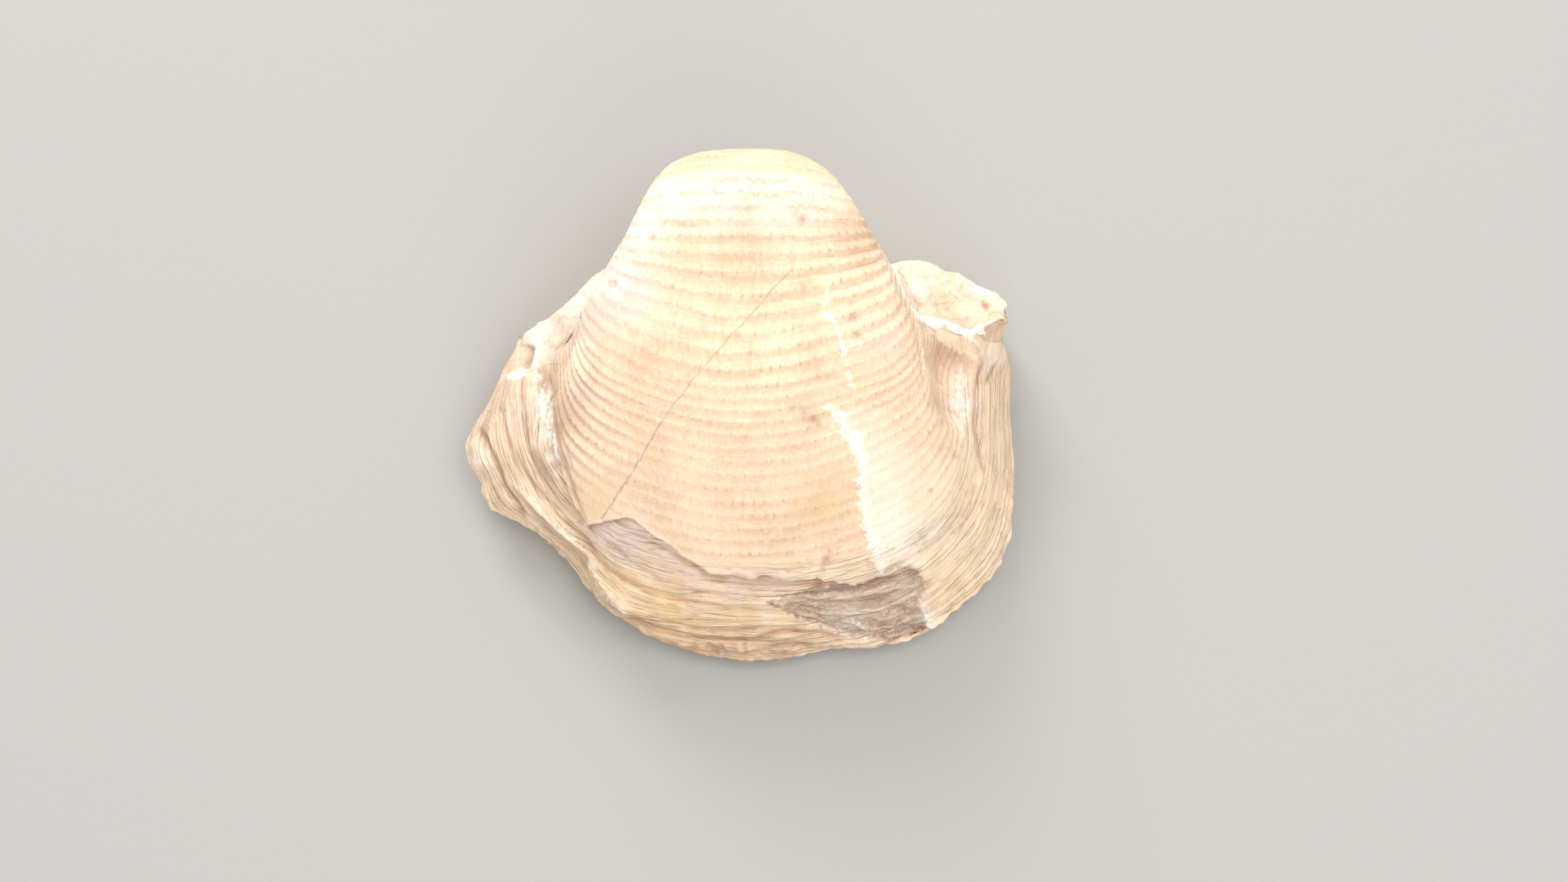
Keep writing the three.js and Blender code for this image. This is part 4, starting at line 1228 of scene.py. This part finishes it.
def finish_rock(mesh):
    """Wears the seams round, and carves and tints the ear and shoulder as the photograph shows them,
    with painted shade in darkened areas and along the marks, and a painted highlight on the ear's crest.
    """
    source = read_field(mesh, "source")
    edges = read(mesh.edges, "vertices", 2, np.int32)
    points = relaxed(read_points(mesh), edges, near_seams(edges, source), SEAM_PASSES)
    joint = joint_distance(points, picture_points(points), edges, source)
    points = worn_round(mesh, points, joint)
    write_points(mesh, points)

    pixels = picture_points(points)
    normals = read(mesh.vertex_normals, "vector", 3).astype(float)
    shown = smoothstep(facing_camera(points, normals), *SHOWN_FACING) * smoothstep(points[:, 1], *SHOWN_Y)
    shown = shown * (points[:, 2] > SHOWN_ABOVE)
    clinging = hump_edge_rock(points, pixels) * shown
    off_hump = shown * ((read_field(mesh, "hump") < 0.5) | (clinging > 0.5))
    at_ear = off_hump * (pixels[:, 0] > EAR_MARKS_FROM) * (pixels[:, 1] < EAR_MARKS_DOWN_TO)
    on_shell = np.where(source > 0.5, 0.0, smoothstep(joint, *JOINT_MARKS))
    at_shoulder = shown * (pixels[:, 0] < SHOULDER_MARKS_TO) * (1 - on_shell)
    ear_marks = apply_marks(pixels, at_ear, points, EAR_MARKS)
    shoulder_marks = apply_marks(pixels, at_shoulder, points, MARKS)
    height, white, dark = (a + b for a, b in zip(ear_marks, shoulder_marks))
    on_crest, crest_height = ear_crest(points, pixels)
    # white on the ear's crest is a painted highlight; dark along the marks is painted shade
    for key, given in (("white", np.maximum(white, on_crest * at_ear)), ("dark", dark)):
        write_field(mesh, key, read_field(mesh, key) * np.where(source > 0.5, 1.0, on_shell))
        raise_field(mesh, key, given)
    # darkened areas are painted shade, tan ones partly painted shade, white ones partly a painted highlight
    for key in ("stain", "chalk_and_highlight", "tan", "painted_shade"):
        raise_field(mesh, key, spots(pixels, shown, AREAS[key]))
    overgrown = smoothstep(joint + 0.9 * noise(points, 1.1, 82) - 0.6, 2.6, 0.4) * shown
    front = spots(pixels, shown, EAR_FRONT) + 0.3 * noise(points, 1.3, 83)
    overgrown = np.maximum(overgrown, smoothstep(front, 0.2, 0.95) * shown)
    raise_field(mesh, "rock", np.maximum(overgrown, clinging))
    write_points(mesh, points + normals * (height + crest_height * at_ear)[:, None])


def fossil_stone():
    """The whole stone as one mesh in the part's frame."""
    stone = Shell().solid()
    others = [
        (bar_solid(), "UNION"),
        (break_solid("shoulder_break", *LEFT_SHOULDER, *SHOULDER_BREAK), "DIFFERENCE"),
        (break_solid("ear_break", *RIGHT_EAR, *EAR_BREAK), "DIFFERENCE"),
    ]
    for other, operation in others:
        baked(stone, "boolean", "BOOLEAN", operation=operation, object=other, solver="MANIFOLD")
        bpy.data.objects.remove(other)
    baked(stone, "triangles", "TRIANGULATE")
    finish_rock(stone.data)
    baked(stone, "fewer", "DECIMATE", ratio=min(1, TRIANGLES / len(stone.data.polygons)))
    mesh = stone.data
    write_points(mesh, np.clip((read_points(mesh) + HINGE) * MM, *np.array(CAD_BOX)))
    mesh.polygons.foreach_set("use_smooth", np.ones(len(mesh.polygons), bool))
    return stone


def tint(red, green, blue):
    """A colour given in screen values from 0 to 255, as the shader's linear values."""
    screen = np.array([red, green, blue]) / 255
    linear = np.where(screen <= 0.04045, screen / 12.92, ((screen + 0.055) / 1.055) ** 2.4)
    return (*linear, 1.0)


class Graph:
    """A new material. Each call adds a node to it, links it and gives back its output."""

    def __init__(self, name):
        self.material = bpy.data.materials.new(name)
        self.material.use_nodes = True
        self.tree = self.material.node_tree
        self.colour, self.height = (0.0, 0.0, 0.0, 1.0), 0.0

    def feed(self, node, inputs):
        for key, value in inputs.items():
            if isinstance(value, bpy.types.NodeSocket):
                self.tree.links.new(value, node.inputs[key])
            else:
                node.inputs[key].default_value = value

    def add(self, kind, inputs, output=0, **settings):
        node = self.tree.nodes.new(kind)
        for key, value in settings.items():
            setattr(node, key, value)
        self.feed(node, inputs)
        return node.outputs[output]

    def math(self, operation, *values):
        return self.add("ShaderNodeMath", dict(enumerate(values)), operation=operation)

    def plus(self, *values):
        return reduce(lambda a, b: self.math("ADD", a, b), values)

    def minus(self, a, b):
        return self.math("SUBTRACT", a, b)

    def times(self, *values):
        return reduce(lambda a, b: self.math("MULTIPLY", a, b), values)

    def ramp(self, value, low, high, start=0.0, end=1.0):
        inputs = {0: value, 1: low, 2: high, 3: start, 4: end}
        return self.add("ShaderNodeMapRange", inputs, interpolation_type="SMOOTHSTEP")

    def blend(self, share, a, b, mode="MIX"):
        inputs = {0: share, 6: a, 7: b}
        return self.add("ShaderNodeMix", inputs, output=2, data_type="RGBA", blend_type=mode)

    def vector(self, x, y, z=0.0):
        return self.add("ShaderNodeCombineXYZ", {0: x, 1: y, 2: z})

    def noise(self, size, vector=None, detail=3.0, roughness=0.55):
        """Noise from 0 to 1 with lumps of about a size, in mm of the object or units of the vector."""
        scale = 1 / size if vector else 1 / (size * MM)
        vector = vector or self.add("ShaderNodeTexCoord", {}, output=3)
        inputs = {"Vector": vector, "Scale": scale, "Detail": detail, "Roughness": roughness}
        return self.add("ShaderNodeTexNoise", inputs)

    def patches(self, size, low, high, start=0.0, end=1.0, detail=3.0, roughness=0.55):
        """A value that goes from start to end in patches of about a size in mm."""
        return self.ramp(self.noise(size, None, detail, roughness), low, high, start, end)

    def jitter(self, size, reach, detail=3.0, roughness=0.55):
        return self.patches(size, 0.3, 0.7, -reach, reach, detail, roughness)

    def streaks(self, scale, across, across_scale, detail=2.0, start=0.0, roughness=0.55):
        """Noise in streaks along the growth lines, from a coordinate across them."""
        place = self.vector(self.times(self.field["along"], scale), self.times(across, across_scale), start)
        return self.noise(1.0, place, detail, roughness)

    def thin_lines(self, value, low, high):
        """1 on the lines where a noise crosses its middle."""
        return self.ramp(self.math("ABSOLUTE", self.minus(value, 0.5)), low, high, 1.0, 0.0)

    def paint(self, tint, *shares):
        self.colour = self.blend(self.times(*shares), self.colour, tint)

    def lift(self, *factors):
        """Adds a fine relief, in mm."""
        self.height = self.plus(self.height, self.times(*factors))


CREAM = tint(240, 212, 180)
TAN = tint(228, 194, 158)
# tint of the tan areas: stain, and painted shade where they lie in furrows and under edges
STAIN_AND_SHADE_TINT = (0.72, 0.61, 0.54, 1.0)
# neutral darkening of the painted shade
PAINTED_SHADE_GREY = (0.72, 0.7, 0.74, 1.0)
ROSE = tint(236, 206, 190)
HONEY = tint(244, 218, 172)
PALE = tint(250, 229, 200)
# deep tan: painted shade on the bands, and fine tan mottling and flecks
DEEP_TAN_AND_SHADE = tint(218, 170, 134)
# dark of the spine bases' painted shadows
SPINE_SHADOW = tint(188, 142, 112)
WHITE = tint(253, 245, 230)
LAYER_DARK = tint(222, 189, 153)
LAYER_LIGHT = tint(251, 227, 198)
FAN_DARK = tint(170, 142, 125)
FAN_LIGHT = tint(222, 196, 174)
FAN_SEAM = tint(118, 94, 82)
YELLOW = tint(238, 202, 142)
LILAC = tint(232, 212, 210)
BROWN = tint(172, 128, 104)
STAIN = tint(160, 118, 98)
# painted shade of the layers' steps and gaps, and painted shadow under the broken edge
STEP_SHADE = tint(150, 112, 84)
CRACK_TINT = tint(196, 156, 128)
ROCK_DARK = tint(222, 192, 162)
ROCK_LIGHT = tint(244, 220, 192)


def paint_ground(g):
    """Mottled cream with large and small patches."""
    g.colour = g.blend(g.patches(7.0, 0.36, 0.62, detail=4), CREAM, TAN)
    g.paint(PALE, g.patches(0.7, 0.5, 0.72), 0.35)
    g.lift(g.noise(0.3, detail=4), 0.05)


def paint_bands(g):
    """Growth bands: a row of dark dots on each crest, painted as the spine bases' shadows, then painted
    shade on the slope in front of it that fades to painted light on the slope up to the next.
    """
    band, hump = g.field["band"], g.field["hump"]
    beside = g.minus(g.math("FRACT", g.field["spine"]), 0.5)
    tooth = g.times(g.math("COSINE", g.times(beside, 2 * np.pi)), 0.09)
    frayed = g.plus(band, tooth, g.jitter(0.45, 0.1))
    before = g.math("FRACT", g.minus(BAND_CREST + 0.03, frayed))
    stretches = g.ramp(g.streaks(0.16, band, 0.8), 0.38, 0.62, 0.25, 1.0)
    g.shade = g.times(g.ramp(before, 0.0, 0.06), g.ramp(before, 0.1, 0.65, 1.0, 0.0), stretches, hump)
    g.shade = g.times(g.shade, g.patches(0.9, 0.38, 0.6, 0.45, 1.1, 4))
    amount = g.ramp(g.field["strength"], 0.05, 0.6, 0.2, 1.0)
    # painted shade on the slope in front of each crest, where it faces away from the light
    g.paint(DEEP_TAN_AND_SHADE, g.shade, amount, 0.62)
    # painted light on the slope that rises to the next crest and faces the light
    g.paint(PALE, g.ramp(before, 0.45, 1.0), hump, 0.3)
    g.paint(PALE, g.ramp(g.streaks(0.14, band, 5.0), 0.56, 0.68), hump, 0.4)
    across = g.times(g.minus(g.math("FRACT", band), BAND_CREST), 1.3)
    sideways = g.times(beside, SPINE_SPACING)
    reach = g.math("SQRT", g.plus(g.times(across, across), g.times(sideways, sideways)))
    dots = g.ramp(g.plus(reach, g.jitter(0.4, 0.08)), 0.08, 0.26, 1.0, 0.0)
    dots = g.times(dots, g.patches(1.6, 0.41, 0.57), hump)
    # dark dots painted as the shadows of the spine bases
    g.paint(SPINE_SHADOW, dots, amount, 0.6)
    flecks = g.streaks(2.2, band, 1.1, detail=3)
    g.paint(PALE, g.ramp(flecks, 0.5, 0.72), hump, 0.3)
    g.paint(DEEP_TAN_AND_SHADE, g.ramp(flecks, 0.3, 0.46, 1.0, 0.0), hump, 0.25)
    g.lift(g.streaks(2.6, band, 0.8), hump, 0.05)
    g.lift(dots, 0.05)


def paint_layers(g):
    """The skirt's layers, with dark lines between them painted as the shade at their steps, and a
    painted shadow at the foot of the broken edge.
    """
    layer, hump, rock = g.field["layer"], g.field["hump"], g.field["rock"]
    sheets = g.streaks(0.07, layer, 1.5)
    lines = g.streaks(0.15, layer, 5.5, detail=3)
    share = g.plus(g.times(g.ramp(sheets, 0.35, 0.65), 0.65), g.times(g.ramp(lines, 0.35, 0.65), 0.35))
    layered = g.blend(share, LAYER_DARK, LAYER_LIGHT)
    parting = g.times(g.thin_lines(sheets, 0.002, 0.025), g.patches(5.0, 0.35, 0.6))
    fine = g.streaks(0.13, layer, 2.8, start=7.0)
    fine = g.times(g.thin_lines(fine, 0.003, 0.03), g.patches(3.0, 0.35, 0.6))
    bent = g.ramp(g.streaks(0.05, layer, 0.4, detail=1), 0.2, 0.8, -0.7, 0.7)
    opened = g.math("FRACT", g.plus(g.times(layer, 1.15), bent))
    opened = g.times(g.ramp(opened, 0.0, 0.05), g.ramp(opened, 0.08, 0.2, 1.0, 0.0))
    opened = g.times(opened, g.ramp(g.streaks(0.1, layer, 1.1), 0.44, 0.58))
    # thin dark lines painted as the shade at the layers' steps and in their gaps
    for dark, amount in ((parting, 0.3), (fine, 0.36), (opened, 0.6)):
        layered = g.blend(g.times(dark, amount), layered, STEP_SHADE)
    g.paint(layered, g.ramp(hump, 0.2, 0.8, 1.0, 0.0))
    foot = g.plus(g.field["edge"], g.jitter(0.5, 0.08))
    # painted shadow along the foot of the broken edge
    g.paint(STEP_SHADE, g.ramp(foot, -0.05, 0.08), g.ramp(foot, 0.22, 0.5, 1.0, 0.0), 0.8)
    elsewhere = g.minus(1.0, g.math("MAXIMUM", hump, rock))
    for relief, amount in ((lines, 0.22), (sheets, 0.15), (opened, -0.12), (fine, -0.06)):
        g.lift(relief, elsewhere, amount)


def paint_rock(g):
    """Fine mottling, and the bare rock at the back, the ears and the underside."""
    g.paint(ROSE, g.patches(0.9, 0.5, 0.66, 0.0, 0.5, 5, 0.7))
    g.paint(HONEY, g.patches(1.5, 0.5, 0.68, 0.0, 0.42, 5, 0.7))
    g.paint(DEEP_TAN_AND_SHADE, g.patches(0.32, 0.53, 0.68, 0.0, 0.26))
    rock = g.blend(g.patches(2.6, 0.34, 0.66, detail=7, roughness=0.65), ROCK_DARK, ROCK_LIGHT)
    rock = g.blend(g.patches(0.6, 0.52, 0.68, 0.0, 0.3, 4), rock, BROWN)
    g.paint(rock, g.field["rock"])
    g.lift(g.noise(0.8, detail=6), g.field["rock"], 0.25)


def paint_fringe(g):
    """The paler layer right of the jagged white rim."""
    ragged = g.plus(g.field["fringe"], g.jitter(0.7, 0.8, 5, 0.75))
    g.paint(WHITE, g.ramp(ragged, 0.0, 0.2), g.ramp(ragged, 4.0, 9.5, 1.0, 0.2), g.field["paling"], 0.75)
    pits = g.patches(0.4, 0.54, 0.62, 1.0, 0.1, 2)
    g.paint(WHITE, g.ramp(ragged, -0.05, 0.1), g.field["rim"], pits, 0.95)


def paint_fibres(g):
    """The fan-shaped patch of fibres."""
    fan = g.ramp(g.plus(g.field["fan"], g.jitter(0.9, 0.35, 5)), -0.1, 0.7)
    ray = g.plus(g.field["ray"], g.patches(2.4, 0.25, 0.75, -0.9, 0.9))
    fibres = g.streaks(0.16, ray, 1.2, detail=6, roughness=0.65)
    g.paint(g.blend(g.ramp(fibres, 0.35, 0.66), FAN_DARK, FAN_LIGHT), fan, 0.85)
    aside = g.math("ABSOLUTE", g.minus(g.field["ray"], 4.5))
    strands = g.thin_lines(g.streaks(0.09, ray, 2.6, start=3.0), 0.004, 0.03)
    strands = g.times(strands, g.ramp(aside, 1.0, 3.6, 0.2, 1.0), fan)
    g.paint(FAN_SEAM, strands, 0.42)
    g.lift(fibres, fan, 0.3)
    g.lift(strands, -0.08)


def paint_areas(g):
    """Areas tinted tan, partly stain and partly painted shade; areas darkened as painted shade; and
    white areas, partly chalk and partly a painted highlight.
    """
    # tan areas: stain, and painted shade in furrows and under the bottom edge
    stain_and_shade = g.times(g.field["tan"], g.patches(2.6, 0.35, 0.62, 0.65, 1.15, 4))
    g.colour = g.blend(stain_and_shade, g.colour, STAIN_AND_SHADE_TINT, "MULTIPLY")
    # painted shade: a neutral darkening of the overlit top, the ear's front, the left furrow and the bottom
    # edge
    g.colour = g.blend(g.field["painted_shade"], g.colour, PAINTED_SHADE_GREY, "MULTIPLY")
    # white: chalk, and painted highlight on the top edge and raised ridges, kept off the bands' painted shade
    chalk_and_highlight = g.times(g.field["chalk_and_highlight"], g.patches(1.3, 0.3, 0.62, 0.5, 1.0, 4))
    g.paint(WHITE, chalk_and_highlight, g.ramp(g.shade, 0.1, 0.7, 1.0, 0.3), 0.85)


def paint_wear(g):
    """Painted shade in hollows, paler convex edges, stains, marks with their white and painted shade, and the
    healed crack.
    """
    # painted shade in hollows
    g.paint(BROWN, g.ramp(g.field["cavity"], 0.02, 0.2), 0.5)
    g.paint(PALE, g.ramp(g.field["cavity"], -0.16, -0.02, 0.45, 0.0))
    g.paint(YELLOW, g.field["yellow"], g.patches(2.2, 0.35, 0.6, 0.1, 0.6))
    g.paint(LILAC, g.field["lilac"], g.patches(1.6, 0.35, 0.6, 0.3, 0.8))
    # dark along the marks: painted shade in their grooves and hollows and under edges
    g.paint(BROWN, g.field["dark"], 0.55)
    g.paint(STAIN, g.field["stain"], g.patches(0.8, 0.3, 0.6, 0.4, 1.0), 0.55)
    g.paint(WHITE, g.ramp(g.plus(g.field["white"], g.jitter(0.6, 0.25)), 0.2, 0.8), 0.95)
    crack = g.math("ABSOLUTE", g.plus(g.field["crack"], g.jitter(2.2, 0.16, 4)))
    crack = g.ramp(crack, 0.03, 0.15, 1.0, 0.0)
    g.paint(CRACK_TINT, crack, g.patches(1.8, 0.35, 0.6, 0.25, 0.75))
    g.lift(crack, -0.05)


def stone_material():
    g = Graph("shell_stone")
    g.field = {key: g.add("ShaderNodeAttribute", {}, output=2, attribute_name=key) for key in FIELDS}
    sections = (paint_ground, paint_bands, paint_layers, paint_rock, paint_fringe, paint_fibres, paint_areas)
    for paint in (*sections, paint_wear):
        paint(g)
    g.feed(g.tree.nodes["Principled BSDF"], {
        "Base Color": g.colour,
        "Normal": g.add("ShaderNodeBump", {"Height": g.height, "Distance": MM, "Strength": 1.0}),
        "Roughness": g.patches(1.1, 0.3, 0.7, 0.62, 0.82),
        "Specular IOR Level": 0.3,
    })
    return g.material


def floor():
    mesh = bpy.data.meshes.new("floor")
    corners = [(x * FLOOR_HALF, y * FLOOR_HALF, 0) for x, y in ((-1, -1), (1, -1), (1, 1), (-1, 1))]
    mesh.from_pydata(corners, [], [(0, 1, 2, 3)])
    g = Graph("floor_paper")
    bump = g.add("ShaderNodeBump", {"Height": g.noise(0.8, detail=4), "Distance": 0.1 * MM, "Strength": 0.4})
    g.feed(g.tree.nodes["Principled BSDF"], {"Base Color": FLOOR_COLOUR, "Roughness": 0.9, "Normal": bump})
    mesh.materials.append(g.material)
    linked("floor", mesh)


def aim(thing, place, target):
    thing.location = place
    thing.rotation_euler = (Vector(target) - Vector(place)).to_track_quat("-Z", "Y").to_euler()


def soft_light(name, direction, brightness, size):
    """A square studio light; brightness 1 makes a white surface that faces it look white."""
    light = bpy.data.lights.new(name, "AREA")
    light.shape = "SQUARE"
    light.size = size
    light.energy = brightness * np.pi**2 * LIGHT_DISTANCE**2
    aim(linked(name, light), Vector(direction).normalized() * LIGHT_DISTANCE, (0, 0, 0.01))


def studio():
    floor()
    for name, light in LIGHTS.items():
        soft_light(name, *light)
    world = bpy.data.worlds.new("studio")
    bpy.context.scene.world = world
    world.use_nodes = True
    background = world.node_tree.nodes["Background"]
    background.inputs["Color"].default_value = (1, 1, 1, 1)
    background.inputs["Strength"].default_value = WORLD_BRIGHTNESS
    bpy.context.scene.view_settings.view_transform = "Standard"


def camera():
    data = bpy.data.cameras.new("camera")
    data.lens = LENS
    data.sensor_width = SENSOR
    data.clip_start = 0.01
    thing = linked("camera", data)
    tilt = np.radians(ELEVATION)
    place = (CAMERA + HINGE) * MM
    aim(thing, place, place + np.array([0, np.cos(tilt), -np.sin(tilt)]))
    bpy.context.scene.camera = thing


camera()
studio()
stone = fossil_stone()
stone.data.materials.clear()
stone.data.materials.append(stone_material())
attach(stone, "root")
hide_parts("fossil")
